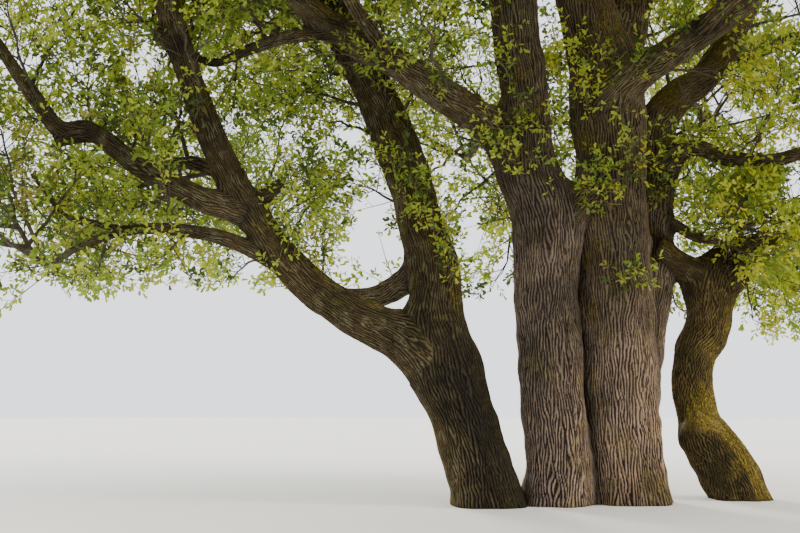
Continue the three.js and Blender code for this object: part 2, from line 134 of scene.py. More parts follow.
# Masses of foliage: the limb whose tip each grows on, or the limb and height that its own bough leaves from
# with that bough's root radius, then the middle and the half axes of its space, in millimetres
masses = {
    "low_left": ("bough_left_low", (-6900, -1300, 3250), (2000, 1900, 1250)),
    "far_left": ("bough_left_long", (-7900, -900, 5500), (2200, 2300, 1900)),
    "upper_left": ("bough_left", (-6500, -1800, 8500), (2400, 2300, 1900)),
    "rear_left": ("bough_left_rear", (-4900, 3500, 4200), (2200, 2100, 1700)),
    "inner_left": ("bough_cross_side", (-5800, 400, 6300), (1700, 1500, 1300)),
    "cross": ("bough_cross", (-5000, -3300, 7000), (2200, 2300, 1900)),
    "left_top": ("stem_left", (-4900, 1400, 10200), (2500, 2400, 2000)),
    "mid_top": ("stem_mid", (-2300, -1300, 11900), (2600, 2400, 2000)),
    "top": ("stem_main", (-100, 1000, 13200), (2600, 2500, 1800)),
    "centre_top": ("leader_centre", (2300, 1900, 11500), (2600, 2400, 2100)),
    "front_right": ("bough_front_right", (3400, -2900, 7800), (2400, 2300, 2000)),
    "back_right": ("leader_back", (4600, 1900, 9000), (2500, 2400, 2100)),
    "right": ("bough_right", (4700, -900, 5100), (2300, 2100, 1700)),
    "right_small": ("bough_right_low", (1500, -50, 3150), (900, 800, 620)),
    "right_low": ("stem_right", (3200, 1600, 3100), (1800, 1700, 1300)),
    "left_behind": (("bough_left", 3300, 95), (-6300, 1700, 4000), (2100, 2000, 1500)),
    "front_mid": (("stem_mid", 6400, 130), (-1700, -4500, 8600), (2400, 2300, 1900)),
    "back_low": (("stem_mid", 3350, 110), (-1700, 4500, 5300), (2200, 2200, 1700)),
    "back_side": (("leader_back", 3900, 120), (2500, 4800, 5700), (2300, 2200, 1800)),
    "back_high": (("stem_main", 6200, 130), (-700, 4300, 9200), (2500, 2300, 2100)),
    "back_left": (("stem_left", 4700, 120), (-4700, 4900, 7300), (2400, 2300, 2000)),
    "far_right": (("leader_back", 5300, 110), (5900, 3200, 6200), (2300, 2300, 1900)),
    "front_left": (("bough_cross", 5000, 90), (-3300, -5300, 6200), (2100, 2000, 1600)),
    "front_side": (("bough_front_right", 5300, 95), (1300, -5000, 6300), (2200, 2100, 1700)),
    "right_front": (("bough_front_right", 6000, 85), (5000, -3900, 5900), (2000, 2000, 1700)),
    "front_top": (("stem_main", 8200, 120), (1200, -1800, 10600), (2400, 2300, 2000)),
}


# Vectors made one long.
def unit(v):
    return v / np.maximum(np.linalg.norm(v, axis=-1, keepdims=True), 1e-9)


# A number from 0 to 1 that is always the same for the same n: the fraction of a large multiple of a sine.
def dice(n):
    x = np.sin(np.asarray(n, float) * 12.9898 + 78.233) * 43758.5453
    return x - np.floor(x)


# From 0 at low to 1 at high, along an S-shaped curve.
def smoothStep(low, high, x):
    t = np.clip((x - low) / (high - low), 0, 1)
    return t * t * (3 - 2 * t)


# A curve through the points: between two of them, the cubic whose slope at each is half its neighbours' step.
def throughPoints(points, t):
    padded = np.vstack([2 * points[0] - points[1], points, 2 * points[-1] - points[-2]])
    k = np.clip(t.astype(int), 0, len(points) - 2)
    f = (t - k)[:, None]
    a, b, c, d = (padded[k + i] for i in range(4))
    slopeB, slopeC = (c - a) / 2, (d - b) / 2
    square, cube = 3 * (c - b) - 2 * slopeB - slopeC, 2 * (b - c) + slopeB + slopeC
    return b + slopeB * f + square * f**2 + cube * f**3


# Places, radii, directions and lengths along a limb's curve, at even steps or at the lengths given.
def alongLimb(stations, step=None, lengths=None):
    points, radii = stations[:, :3], stations[:, 3]
    last, little = len(points) - 1, 1e-3
    t = np.linspace(0, last, 80 * last + 1)
    run = np.linalg.norm(np.diff(throughPoints(points, t), axis=0), axis=1)
    run = np.concatenate([[0], np.cumsum(run)])
    if lengths is None:
        count = max(last, int(math.floor(run[-1] / step + 0.5)))
        lengths = np.linspace(0, run[-1], count + 1)
    at = np.interp(lengths, run, t)
    ahead = throughPoints(points, np.minimum(at + little, last))
    behind = throughPoints(points, np.maximum(at - little, 0))
    return throughPoints(points, at), np.interp(at, np.arange(last + 1), radii), unit(ahead - behind), lengths


solidForm = {
    "ringStep": 0.8,                        # metres between the rings that a mass's bough may leave from
    "groundCut": -0.3,                      # where the stems' middle lines start
    "boughStop": 1.15,                      # how far from its mass's middle a bough ends
    "boughTaper": [1, 0.85, 0.6, 0.42],
}


# The place, radius and direction of a limb's ring that is nearest a height.
def atHeight(name, height, step=0.05):
    place, radius, direction, _ = alongLimb(limbs[name], step)
    k = np.argmin(np.abs(place[:, 2] - height))
    return place[k], radius[k], direction[k]


# The bough of a mass leaves its parent's ring nearest that height and arches over to near the mass's middle.
def boughToMass(origin, centre):
    parent, leave, rootRadius = origin
    start, _, direction = atHeight(parent, leave * mm, solidForm["ringStep"])
    centre = np.array(centre) * mm
    out = centre - start
    end = centre - unit(out) * solidForm["boughStop"]
    span = np.linalg.norm(end - start)
    first = start + direction * span * 0.1 + out * 0.24
    second = start + out * 0.62 + up * span * 0.09
    radii = np.array(solidForm["boughTaper"]) * (rootRadius * mm)
    return np.column_stack([[start, first, second, end], radii])


limbs, massLimb = {}, []
for name, stations in {**stems, **boughs, **stubs}.items():
    stations = np.array(stations, float) * mm
    if name in stems:
        share = solidForm["groundCut"] / (stations[1, 2] - stations[0, 2])
        below = stations[0] + (stations[1] - stations[0]) * share
        below[2:] = solidForm["groundCut"], stations[0, 3]
        stations = np.vstack([below, stations])
    limbs[name] = stations
for name, (origin, centre, _) in masses.items():
    if not isinstance(origin, str):
        limbs["bough_" + name] = boughToMass(origin, centre)
        origin = "bough_" + name
    massLimb.append(origin)
massCentre = np.array([centre for _, centre, _ in masses.values()]) * mm
massReach = np.array([reach for _, _, reach in masses.values()]) * mm
print("limbs:", len(limbs), "masses:", len(masses))

# Each limb as short cones laid along it: their starts, steps, radii and growth
limbCones = {}
for name, stations in limbs.items():
    place, radius, _, _ = alongLimb(stations, 0.25)
    limbCones[name] = (place[:-1], np.diff(place, axis=0), radius[:-1], np.diff(radius))


# How far each point is outside a limb: the least of its distances to the limb's cones.
def limbGap(name, points, margin=0.6):
    start, step, radius, growth = limbCones[name]
    gap = np.full(len(points), farOff)
    low = start.min(0) - radius.max() - margin
    high = start.max(0) + radius.max() + margin + np.abs(step).max()
    near = np.nonzero(np.all((points > low) & (points < high), axis=1))[0]
    lengthSquared = (step**2).sum(1)
    for part in np.array_split(near, max(1, len(near) // pointsAtOnce)):
        away = points[part, None] - start[None]
        t = np.clip((away * step).sum(2) / lengthSquared, 0, 1)
        distance = np.linalg.norm(away - t[..., None] * step, axis=2) - (radius + t * growth)
        if len(part):
            gap[part] = distance.min(1)
    return gap


# How far each point is outside all the limbs.
def anyLimbGap(points):
    return np.minimum.reduce([limbGap(name, points, 0.4) for name in limbs])


# Each array's values where keep is true.
def picked(keep, *arrays):
    return [values[keep] for values in arrays]


# From rows of arrays, the arrays of each column joined.
def joined(rows):
    return [np.concatenate(values) for values in zip(*rows)]


# The bits of whole numbers turned round by k places.
def turned(x, k):
    return (x << np.uint32(k)) | (x >> np.uint32(32 - k))


# A steady whole number for each corner of a lattice, by adding, turning and mixing its three counts.
def latticeNumber(x, y, z):
    a, b, c = (v.astype(np.int64).astype(np.uint32) + np.uint32(3735928584) for v in (x, y, z))
    c = (c ^ b) - turned(b, 14)
    a = (a ^ c) - turned(c, 11)
    b = (b ^ a) - turned(a, 25)
    c = (c ^ b) - turned(b, 16)
    a = (a ^ c) - turned(c, 4)
    b = (b ^ a) - turned(a, 14)
    return (c ^ b) - turned(b, 24)


# Smooth noise from about -0.8 to 0.8: at each corner of a lattice a slope in one of twelve directions, the
# eight slopes round a point mixed by an S-shaped share of the way across.
def softNoise(p):
    base = np.floor(p)
    f = p - base
    share = f**3 * (f * (f * 6 - 15) + 10)
    total = 0
    for corner in np.ndindex(2, 2, 2):
        corner = np.array(corner)
        kind = latticeNumber(*(base + corner).T) & np.uint32(15)
        x, y, z = (f - corner).T
        first = np.where(kind < 8, x, y)
        second = np.where(kind < 4, y, np.where((kind == 12) | (kind == 14), x, z))
        slope = np.where(kind & 1, -first, first) + np.where(kind & 2, -second, second)
        total = total + slope * np.prod(np.where(corner == 1, share, 1 - share), axis=1)
    return total


# Adds bumps to the values at points: each bump's height times a bell curve of the distance from its place,
# less a share, dip, of a narrower bell. Places, widths and heights are in millimetres.
def addBumps(values, points, bumps, dip=0.0):
    for x, y, z, width, height in bumps:
        away = np.linalg.norm(points - np.array([x, y, z]) * mm, axis=1) / (width * mm)
        values += height * mm * (np.exp(-away**2) - dip * np.exp(-(away * barkForm["dipNarrower"]) ** 2))


barkForm = {
    "around": 0.0105,       # between points round a thick stem
    "along": 0.04,          # between rings where the photo's view sees them
    "alongHigh": 0.15,      # and above that
    "highFrom": 5.9,
    "plain": 1.9,           # boughs that the photo doesn't show have points this much further apart
    "thick": 0.3,           # limbs thinner than this have them closer together,
    "closest": 0.85,        # but no closer than this share
    "fewestAround": 28,
    "ridgeWidth": 0.046,    # times the radius to the power below
    "ridgePower": 0.3,
    "ridgeDepth": 0.33,     # of the ridge's width
    "crackToTop": (-0.7, 0.5),      # the cosine of the ridge's phase in the crack and on the top
    "broken": 0.3,          # how much lower a broken ridge is
    "tilt": 0.1,            # slope of the ridges
    "twist": {"stem_right": 0.3, "stem_left": 0.14, "bough_cross": 0.2},    # and where it is more
    "wander": 10,           # how much their number round the stem comes and goes
    # Waves: how many more ridges each has than the last, how far they go past the fewest and the most, and
    # how far from its own number a wave is still strong
    "waves": (3, 9, 2),
    # Noises: their scales across and along the grain, and a shift. The sways have their strength before that
    "wanderNoise": (0.25, 0.09, 11), "leftNoise": (0.5, 0.2, 23), "brokenNoise": (0.9, 0.5, 41),
    "sways": [(1, 0.12, 0.035, 5), (0.5, 0.35, 0.12, 17), (0.32, 0.5, 0.3, 29)],
    "brokenFrom": (0.1, 0.45),      # the noise where ridges begin to break, and where they are fully broken
    "pointsPerRidge": 3.0,
    "lump": 0.11,           # of the radius
    "lumps": [(1, 0.55, 0.9), (0.5, 0.2, 1.6)],     # strength, size, and how much they change round the limb
    "noiseApart": 7.31,     # between one limb's noise and the next
    "levelTo": 0.8,         # the height up to which a stem's rings turn from level to square
    "blunt": 0.98,          # how round a bough's root is
    "roots": 5,             # lobes of the root flare
    "flare": 0.1,           # root flare, of the radius, dying away up the stem
    "flareHeight": 0.28,
    "rootReach": 0.8,       # of a bough's radius
    "knotDip": 0.75,        # how deep the dip in a knot's middle is
    "dipNarrower": 2.6,
    "mostLift": 0.25,       # of the blend's width
    # creaseGap sets painted shade where another limb is near
    "creaseGap": (-0.04, 0.13),     # from the other limb's skin, from darkest to none
}
# How widely a limb's root blends into the limb that it leaves, in metres
blends = {
    ("bough_left", "stem_left"): 0.34, ("bough_left_rear", "stem_left"): 0.22,
    ("bough_left_long", "bough_left"): 0.16, ("bough_left_low", "bough_left"): 0.1,
    ("bough_cross", "stem_mid"): 0.3, ("bough_cross_side", "bough_cross"): 0.1,
    ("graft_arm", "stem_mid"): 0.26, ("graft_arm", "stem_main"): 0.2,
    ("leader_centre", "stem_main"): 0.5, ("bough_front_right", "stem_main"): 0.34,
    ("leader_back", "stem_main"): 0.2, ("bough_right", "leader_back"): 0.2,
    ("bough_right_low", "leader_back"): 0.1, ("arm_right", "stem_right"): 0.22,
    ("arm_right", "leader_back"): 0.14, ("arm_right", "stem_main"): 0.14,
    ("leader_centre", "bough_front_right"): 0.14, ("stem_mid", "stem_main"): 0.09,
    ("stub_high", "bough_left"): 0.1, ("stub_elbow", "bough_left_long"): 0.1,
    ("stub_right", "stem_right"): 0.2, ("stub_fork", "bough_left"): 0.1,
}
closeBlend = 0.05       # where limbs only lean against each other
massBoughBlend = 0.14
# Knots and burls, each with a dip in its middle: place, how wide and how proud, in millimetres
knots = [
    (-1390, -420, 5080, 95, 45), (-1340, -430, 4520, 110, 40), (-470, -190, 4990, 105, 50),
    (-2060, -560, 4500, 120, 75), (-680, -260, 4680, 80, 40), (-3830, -640, 2560, 90, 40),
    (-4480, -740, 3760, 80, 40), (-1990, -560, 1980, 120, 40), (-640, -480, 2360, 90, 25),
    (180, -380, 3150, 100, 30), (930, 190, 2480, 130, 55), (1210, 260, 2560, 120, 60),
    (760, 240, 990, 110, 40), (-2380, -120, 3320, 100, 40), (-6100, -1040, 4020, 70, 35),
    (-130, -420, 4010, 120, 35), (-980, -470, 3420, 110, 30), (330, 250, 4350, 110, 45),
    (-80, -390, 2250, 150, 45),
]
# Swells and folds in the same form: the knee of stem_right, and fullness where stems stand close
swells = [
    (730, 330, 690, 170, 75), (690, 360, 930, 60, -50), (770, 270, 975, 60, -50), (860, 235, 1000, 60, -50),
    (950, 245, 985, 60, -45), (1040, 290, 935, 60, -35), (810, 215, 840, 110, 60), (960, 200, 850, 110, 50),
    (1480, 480, 250, 200, 30), *((300, -60, z, 200, -25) for z in (1900, 2300, 2700)),
    *((-480, 260, z, 250, 80) for z in (1900, 2300, 2750)), (-2020, -600, 1750, 260, 35),
    (-760, -480, 900, 240, 25),
]
# Where moss fills the ridges, in the same form, a metre high so that it counts as full
mossyPlaces = [(730, 310, 880, 120, 1000), (860, 230, 920, 150, 1000), (1010, 250, 900, 150, 1000)]


# The width of the blend of a limb with each of the others.
def neighbourBlends(name):
    found = {}
    for other in limbs:
        grows = {"bough_" + m for m in masses} & {name, other}
        usual = massBoughBlend if grows else closeBlend
        if other != name:
            found[other] = blends.get((name, other), blends.get((other, name), usual))
    return found


# A side vector carried along a limb's directions with no twist: at each ring, last ring's made square again.
def carriedSides(direction):
    side = np.array([0.0, 1.0, 0.0]) if abs(direction[0, 0]) > 0.8 else np.array([1.0, 0.0, 0.0])
    sides = []
    for d in direction:
        side = unit(side - d * (side @ d))
        sides.append(side)
    return np.array(sides)


# Ring lengths: close together low down, wider apart higher up.
def ringLengths(stations, isStem, fine):
    place, _, _, lengths = alongLimb(stations, 0.1)
    start = np.interp(0, place[:, 2], lengths) if isStem else 0
    gaps = np.where(place[:, 2] > barkForm["highFrom"], barkForm["alongHigh"], barkForm["along"]) * fine
    count = np.concatenate([[0], np.cumsum(np.diff(lengths) / gaps[1:])])
    first = np.interp(start, lengths, count)
    steps = np.linspace(first, count[-1], int(count[-1] - first) + 2)
    return np.interp(steps, count, lengths)


# Ridges as a turning phase, as unit complex numbers: waves of whole numbers of ridges round the limb, each
# strong where that number suits its girth, leaning one way or the other by patches, then swayed by noise.
# Where two waves meet, ridges split and join.
def ridgePhase(angle, grain, wanted, tilt, shift):
    noise = lambda across, along, k: softNoise(grain * [across, across, along] + k + shift)
    number = wanted + barkForm["wander"] * noise(*barkForm["wanderNoise"])
    left = smoothStep(-0.25, 0.25, noise(*barkForm["leftNoise"]))
    sway = 2 * math.pi * sum(strength * noise(*kind) for strength, *kind in barkForm["sways"])
    lean = 2 * math.pi * tilt * grain[:, 2]
    total = np.zeros(len(angle), complex)
    apart, beyond, spread = barkForm["waves"]
    for count in range(max(apart, int(wanted.min()) - beyond), int(wanted.max()) + beyond, apart):
        weight = np.exp(-(((count - number) / spread) ** 2))
        total += weight * (left * np.exp(1j * (count * angle + lean))
                           + (1 - left) * np.exp(1j * (count * angle - lean + 1.3)))
    total = total * np.exp(1j * sway) + 1e-9
    return total / np.abs(total)


# The faces of a tube's skin: each corner, the next one round, and the two beyond them.
def ringQuads(rows, columns):
    k = np.arange(columns)
    following = (k + 1) % columns
    row = np.arange(rows - 1)[:, None] * columns
    above = row + columns
    return np.stack([row + k, row + following, above + following, above + k], axis=-1).reshape(-1, 4)


# The faces of a cap: each edge of a ring and the point in its middle.
def capFaces(columns, ring, middle):
    k = np.arange(columns)
    return np.column_stack([ring * columns + k, ring * columns + (k + 1) % columns, np.full(columns, middle)])


# A limb's skin is a grid of angle and length. Each point lies the limb's radius out from its middle line, is
# lifted where another limb's skin is near, swells at lumps and knots, and sinks between the ridges of bark.
def barkSkin(name):
    stations, isStem = limbs[name], name in stems
    thickest = stations[:, 3].max()
    isPlain = name.startswith("bough_") and name not in boughs
    fine = barkForm["plain"] if isPlain else np.clip(thickest / barkForm["thick"], barkForm["closest"], 1.0)
    place, radius, direction, lengths = alongLimb(stations, lengths=ringLengths(stations, isStem, fine))
    if isStem:  # rings lie level at the ground and turn square to the stem above it
        turn = smoothStep(0, barkForm["levelTo"], place[:, 2:3])
        direction = unit(up * (1 - turn) + direction * turn)
        place[0, 2] = 0
    else:       # the root is rounded and reaches a little further into its parent
        reach = barkForm["rootReach"] * radius[0]
        place = place - direction * (reach * np.exp(-lengths / reach))[:, None]
        radius = radius * np.sqrt(1 - (1 - np.minimum(lengths / reach, 1)) ** 2 * barkForm["blunt"])
    columns = int(max(barkForm["fewestAround"], 2 * math.pi * thickest / (barkForm["around"] * fine)))
    rows = len(place)
    side = carriedSides(direction)
    other = np.cross(direction, side)
    angle = np.tile(np.arange(columns) * 2 * math.pi / columns, rows)
    spread = lambda values: np.repeat(values, columns, axis=0)
    radial = spread(side) * np.cos(angle)[:, None] + spread(other) * np.sin(angle)[:, None]
    centre, r = spread(place), spread(radius)
    shift = sorted(limbs).index(name) * barkForm["noiseApart"]

    lump = sum(strength * softNoise(centre / size + radial * change + shift)
               for strength, size, change in barkForm["lumps"])
    r = r * (1 + barkForm["lump"] * lump)
    if isStem:
        lobes = 0.5 + 0.5 * np.sin(angle * barkForm["roots"] + shift + 3 * softNoise(radial * 1.3 + shift))
        nearGround = np.exp(-np.maximum(centre[:, 2], 0) / barkForm["flareHeight"])
        r = r * (1 + barkForm["flare"] * lobes * nearGround)
    skin = centre + radial * r[:, None]
    lift = np.zeros(len(skin))
    around = {n: w for n, w in neighbourBlends(name).items() if limbGap(n, skin, w).min() < w}
    for _ in range(3):      # each time from where the skin has been lifted to
        proud = np.zeros(len(skin))
        for n, width in around.items():
            gap = limbGap(n, skin + radial * lift[:, None], width)
            share = np.clip(1 - np.abs(lift - gap) / width, 0, 1)
            proud = np.maximum(proud, width * barkForm["mostLift"] * share**2)
        lift = proud
    addBumps(lift, skin, knots, barkForm["knotDip"])
    addBumps(lift, skin, swells)
    filled = np.zeros(len(skin))
    addBumps(filled, skin, mossyPlaces)
    filled = np.minimum(filled, 1)

    ridge = barkForm["ridgeWidth"] * radius ** barkForm["ridgePower"]
    wanted = np.minimum(2 * math.pi * radius / ridge, columns / barkForm["pointsPerRidge"])
    ridge = 2 * math.pi * radius / wanted
    run = np.concatenate([[0], np.cumsum(np.diff(lengths) / ridge[1:])])
    flat = np.column_stack([np.cos(angle), np.sin(angle)]) * spread(radius / ridge)[:, None]
    grain = np.column_stack([flat, spread(run)])
    phase = ridgePhase(angle, grain, spread(wanted), barkForm["twist"].get(name, barkForm["tilt"]), shift)
    across, along, k = barkForm["brokenNoise"]
    broken = smoothStep(*barkForm["brokenFrom"], softNoise(grain * [across, across, along] + k + shift))
    relief = smoothStep(*barkForm["crackToTop"], phase.real) * (1 - barkForm["broken"] * broken)
    relief = np.maximum(relief, filled)
    skin = skin + radial * (lift - spread(ridge) * barkForm["ridgeDepth"] * (1 - relief))[:, None]
    if isStem:
        skin[:, 2] = np.maximum(skin[:, 2], 0)
        skin[:columns, 2] = 0

    foot = rows * columns
    caps = [capFaces(columns, 0, foot)[:, [1, 0, 2]], capFaces(columns, rows - 1, foot + 1)]
    # painted shade between limbs: darker the nearer another limb's skin
    hidden = np.minimum.reduce([limbGap(n, skin, 0.3) for n in around] or [np.full(len(skin), farOff)])
    capped = lambda values: np.concatenate([values, values[:1], values[-1:]])
    # The ridges' third value is how broken they are, from 0 to 1, and on to 2 where moss fills them
    return {
        "vertices": np.vstack([skin, place[:1], place[-1:]]),
        "quads": ringQuads(rows, columns), "caps": np.vstack(caps),
        "ridges": capped(np.column_stack([phase.real, phase.imag, broken + (2 - broken) * filled])),
        "grain": capped(grain + shift), "crease": capped(smoothStep(*barkForm["creaseGap"], hidden)),
    }


# A new object in the scene.
def linkObject(name, data):
    thing = bpy.data.objects.new(name, data)
    bpy.context.scene.collection.objects.link(thing)
    return thing


# A mesh object from arrays of points and faces.
def fillMesh(name, vertices, quads, triangles, smooth=True):
    quads = np.zeros((0, 4), int) if quads is None else quads
    mesh = bpy.data.meshes.new(name)
    mesh.vertices.add(len(vertices))
    mesh.vertices.foreach_set("co", vertices.astype(np.float32).ravel())
    corners = np.concatenate([quads.ravel(), triangles.ravel()]).astype(np.int32)
    mesh.loops.add(len(corners))
    mesh.loops.foreach_set("vertex_index", corners)
    sizes = np.repeat([4, 3], [len(quads), len(triangles)])
    mesh.polygons.add(len(sizes))
    mesh.polygons.foreach_set("loop_start", (np.cumsum(sizes) - sizes).astype(np.int32))
    mesh.update(calc_edges=True)
    mesh.validate()
    if smooth:
        mesh.shade_smooth()
    return linkObject(name, mesh)


# A value or vector at each of a mesh's points, for its material to read.
def addAttribute(piece, name, values):
    isVector = values.ndim == 2
    attribute = piece.data.attributes.new(name, "FLOAT_VECTOR" if isVector else "FLOAT", "POINT")
    attribute.data.foreach_set("vector" if isVector else "value", values.astype(np.float32).ravel())


# Sets a node's inputs, each to a number, a vector or a colour, or to another node's output.
def setInputs(node, inputs):
    for key, value in inputs.items():
        socket = node.inputs[key]
        if isinstance(value, bpy.types.NodeSocket):
            node.id_data.links.new(value, socket)
        elif socket.type == "RGBA":
            socket.default_value = (*value, 1)
        else:
            socket.default_value = value


# A new node with these inputs and settings. Gives its outputs.
def addNode(tree, kind, inputs, **settings):
    node = tree.nodes.new("ShaderNode" + kind)
    for key, value in settings.items():
        setattr(node, key, value)
    setInputs(node, inputs)
    return node.outputs


# The nodes below stand in the tree of the output that they are given first.
def mathNode(a, operation, b, clamp=False):
    return addNode(a.id_data, "Math", {0: a, 1: b}, operation=operation, use_clamp=clamp)[0]


def rangeNode(value, low, high, toLow=0.0, toHigh=1.0, kind="LINEAR"):
    inputs = dict(enumerate((value, low, high, toLow, toHigh)))
    return addNode(value.id_data, "MapRange", inputs, interpolation_type=kind)[0]


def mixColour(a, factor, b, blend="MULTIPLY"):
    return addNode(a.id_data, "Mix", {0: factor, 6: a, 7: b}, data_type="RGBA", blend_type=blend)[2]


def rampNode(value, stops):
    outputs = addNode(value.id_data, "ValToRGB", {0: value})
    elements = outputs[0].node.color_ramp.elements
    while len(elements) < len(stops):
        elements.new(0.5)
    for element, (position, colour) in zip(elements, stops):
        element.position = position
        element.color = (*colour, 1)
    return outputs[0]


# Noises in the bark: what each is read from, how long it is drawn out along the grain, its scale and detail
barkNoises = {
    "fibre": ("Grain", 0.45, 2.6, 5), "flake": ("Grain", 1, 5.5, 3), "streak": ("Grain", 0.22, 0.75, 3),
    "broad": ("Place", 1, 0.9, 2), "patch": ("Place", 1, 1.7, 3), "shallow": ("Place", 1, 3.1, 2),
    "speck": ("Place", 1, 9, 4),
}
# Tints that multiply its colour in turn: each one's noise, from none to all, how strong it is, and the tint
barkTints = [
    ("streak", 0.36, 0.64, 1, (0.52, 0.5, 0.48)), ("broad", 0.4, 0.62, 0.8, (0.6, 0.57, 0.5)),
    ("patch", 0.38, 0.62, 1, (0.72, 0.76, 0.78)), ("speck", 0.45, 0.7, 1, (1.25, 1.12, 1)),
]
barkTones = {
    "nearGround": (0.3, 2.4), "groundCrack": (0.36, 0.36, 0.36), "groundRidge": (1.36, 1.33, 1.36),
    "contrast": 1.25, "lichen": (0.2, 0.215, 0.13), "film": (0.78, 0.82, 0.42),
    "moss": [(0.3, (0.024, 0.021, 0.004)), (0.5, (0.085, 0.068, 0.009)), (0.7, (0.32, 0.2, 0.012))],
}


# Bark colour and height: the ridges' profile is the same smooth step of the phase's cosine as in the mesh.
# Fine noise along the grain roughens it, and the level between crack and ridge top picks the colour, mottled
# by patches, with grey-green lichen on the tops and green to yellow moss where the mesh says.
def barkGroup():
    group = bpy.data.node_groups.new("oakBark", "ShaderNodeTree")
    for direction, sockets in (
            ("INPUT", {"Ridges": "Vector", "Grain": "Vector", "Place": "Vector", "Moss": "Float",
                       "Lichen": "Float", "Ridge Colour": "Color", "Crack Colour": "Color"}),
            ("OUTPUT", {"Colour": "Color", "Height": "Float", "Roughness": "Float"})):
        for name, kind in sockets.items():
            group.interface.new_socket(name, in_out=direction, socket_type="NodeSocket" + kind)
    given = group.nodes.new("NodeGroupInput").outputs
    cosine, sine, breaks = addNode(group, "SeparateXYZ", {0: given["Ridges"]})
    flat = addNode(group, "CombineXYZ", {0: cosine, 1: sine})[0]
    even = addNode(group, "VectorMath", {0: flat}, operation="NORMALIZE")[0]
    cosine = addNode(group, "SeparateXYZ", {0: even})[0]
    profile = rangeNode(cosine, *barkForm["crackToTop"], kind="SMOOTHSTEP")
    profile = mathNode(profile, "MULTIPLY", rangeNode(breaks, 0, 1, 1, 1 - barkForm["broken"]))
    relief = mathNode(profile, "MAXIMUM", rangeNode(breaks, 1, 2))

    noise = {}
    for name, (source, drawn, scale, detail) in barkNoises.items():
        drawnOut = addNode(group, "Mapping", {0: given[source], "Scale": (1, 1, drawn)})[0]
        noise[name] = addNode(group, "TexNoise", {"Vector": drawnOut, "Scale": scale, "Detail": detail})[0]
    rough = mathNode(rangeNode(noise["fibre"], 0.25, 0.75, -0.42, 0.42), "ADD",
                     rangeNode(noise["flake"], 0.3, 0.7, -0.2, 0.2))
    level = mathNode(relief, "MAXIMUM", rangeNode(noise["shallow"], 0.35, 0.65, 0, 0.35))
    level = mathNode(level, "ADD", rough, clamp=True)
    height = addNode(group, "SeparateXYZ", {0: given["Place"]})[2]
    low = rangeNode(height, *barkTones["nearGround"], 1, 0)
    crack = mixColour(given["Crack Colour"], low, barkTones["groundCrack"])
    ridge = mixColour(given["Ridge Colour"], low, barkTones["groundRidge"])
    colour = mixColour(crack, mathNode(level, "POWER", barkTones["contrast"]), ridge, "MIX")
    for name, low, high, strength, tint in barkTints:
        colour = mixColour(colour, rangeNode(noise[name], low, high, 0, strength), tint)

    onTops = mathNode(rangeNode(noise["speck"], 0.5, 0.64), "MULTIPLY", level)
    lichen = mathNode(onTops, "MULTIPLY", given["Lichen"], clamp=True)
    colour = mixColour(colour, lichen, barkTones["lichen"], "MIX")
    film = mathNode(given["Moss"], "MULTIPLY", 1.5, clamp=True)
    colour = mixColour(colour, film, barkTones["film"])
    grown = mathNode(given["Moss"], "ADD", rangeNode(noise["speck"], 0.3, 0.7, -0.3, 0.3))
    thick = mathNode(rangeNode(level, 0, 1, 0.5, 0.95), "MAXIMUM", rangeNode(given["Moss"], 0.7, 0.95))
    covered = mathNode(rangeNode(grown, 0.38, 0.85, kind="SMOOTHSTEP"), "MULTIPLY", thick)
    setInputs(group.nodes.new("NodeGroupOutput"), {
        "Colour": mixColour(colour, covered, rampNode(noise["fibre"], barkTones["moss"]), "MIX"),
        "Height": mathNode(relief, "ADD", rangeNode(noise["fibre"], 0, 1, 0, 0.55)),
        "Roughness": rangeNode(level, 0, 1, 0.98, 0.84),
    })
    return group


barkNodes = barkGroup()


# A material with these inputs of its shader. Gives its node tree and shader too.
def newMaterial(name, inputs):
    material = bpy.data.materials.new(name)
    material.use_nodes = True
    shader = material.node_tree.nodes["Principled BSDF"]
    setInputs(shader, inputs)
    return material, material.node_tree, shader


# Bark reads its own attributes. The crease attribute is painted shade between limbs, under the crown, in
# folds and on shaded sides.
def barkMaterial(name, ridge, crack, lichen, bump=0.012):
    material, tree, shader = newMaterial(name, {"Specular IOR Level": 0.25})
    attribute = lambda name: addNode(tree, "Attribute", {}, attribute_name=name)
    bark = addNode(tree, "Group", {
        "Ridges": attribute("ridges")["Vector"], "Grain": attribute("grain")["Vector"],
        "Moss": attribute("moss")["Fac"], "Place": addNode(tree, "TexCoord", {})["Object"],
        "Lichen": lichen, "Ridge Colour": ridge, "Crack Colour": crack,
    }, node_tree=barkNodes)
    shade = rangeNode(attribute("crease")["Fac"], 0, 1, 0.12, 1)
    relief = addNode(tree, "Bump", {"Distance": bump, "Strength": 0.8, "Height": bark["Height"]})
    colour = mixColour(bark["Colour"], 1.0, shade)
    setInputs(shader, {"Base Color": colour, "Roughness": bark["Roughness"], "Normal": relief[0]})
    return material


barkLooks = {   # colours of ridges and cracks, and how much lichen
    "bark": barkMaterial("oakBark", (0.27, 0.19, 0.132), (0.03, 0.019, 0.013), 0.25),
    # stem_mid's bark is greyer, and also darker as painted shade
    "grey": barkMaterial("greyShadedBark", (0.215, 0.155, 0.116), (0.023, 0.016, 0.011), 0.25),
    "olive": barkMaterial("oliveBark", (0.132, 0.094, 0.036), (0.026, 0.018, 0.008), 0.3),
    "mossy": barkMaterial("mossyBark", (0.145, 0.098, 0.03), (0.022, 0.014, 0.005), 0.2),
    "bough": barkMaterial("boughBark", (0.165, 0.12, 0.058), (0.024, 0.017, 0.008), 0.4, bump=0.006),
}
barkOf = {
    "stem_main": "bark", "stem_mid": "grey", "graft_arm": "bark", "leader_back": "bark",
    "stem_left": "olive", "bough_left": "olive", "stub_fork": "olive",
    "stem_right": "mossy", "arm_right": "mossy", "stub_right": "mossy",
}
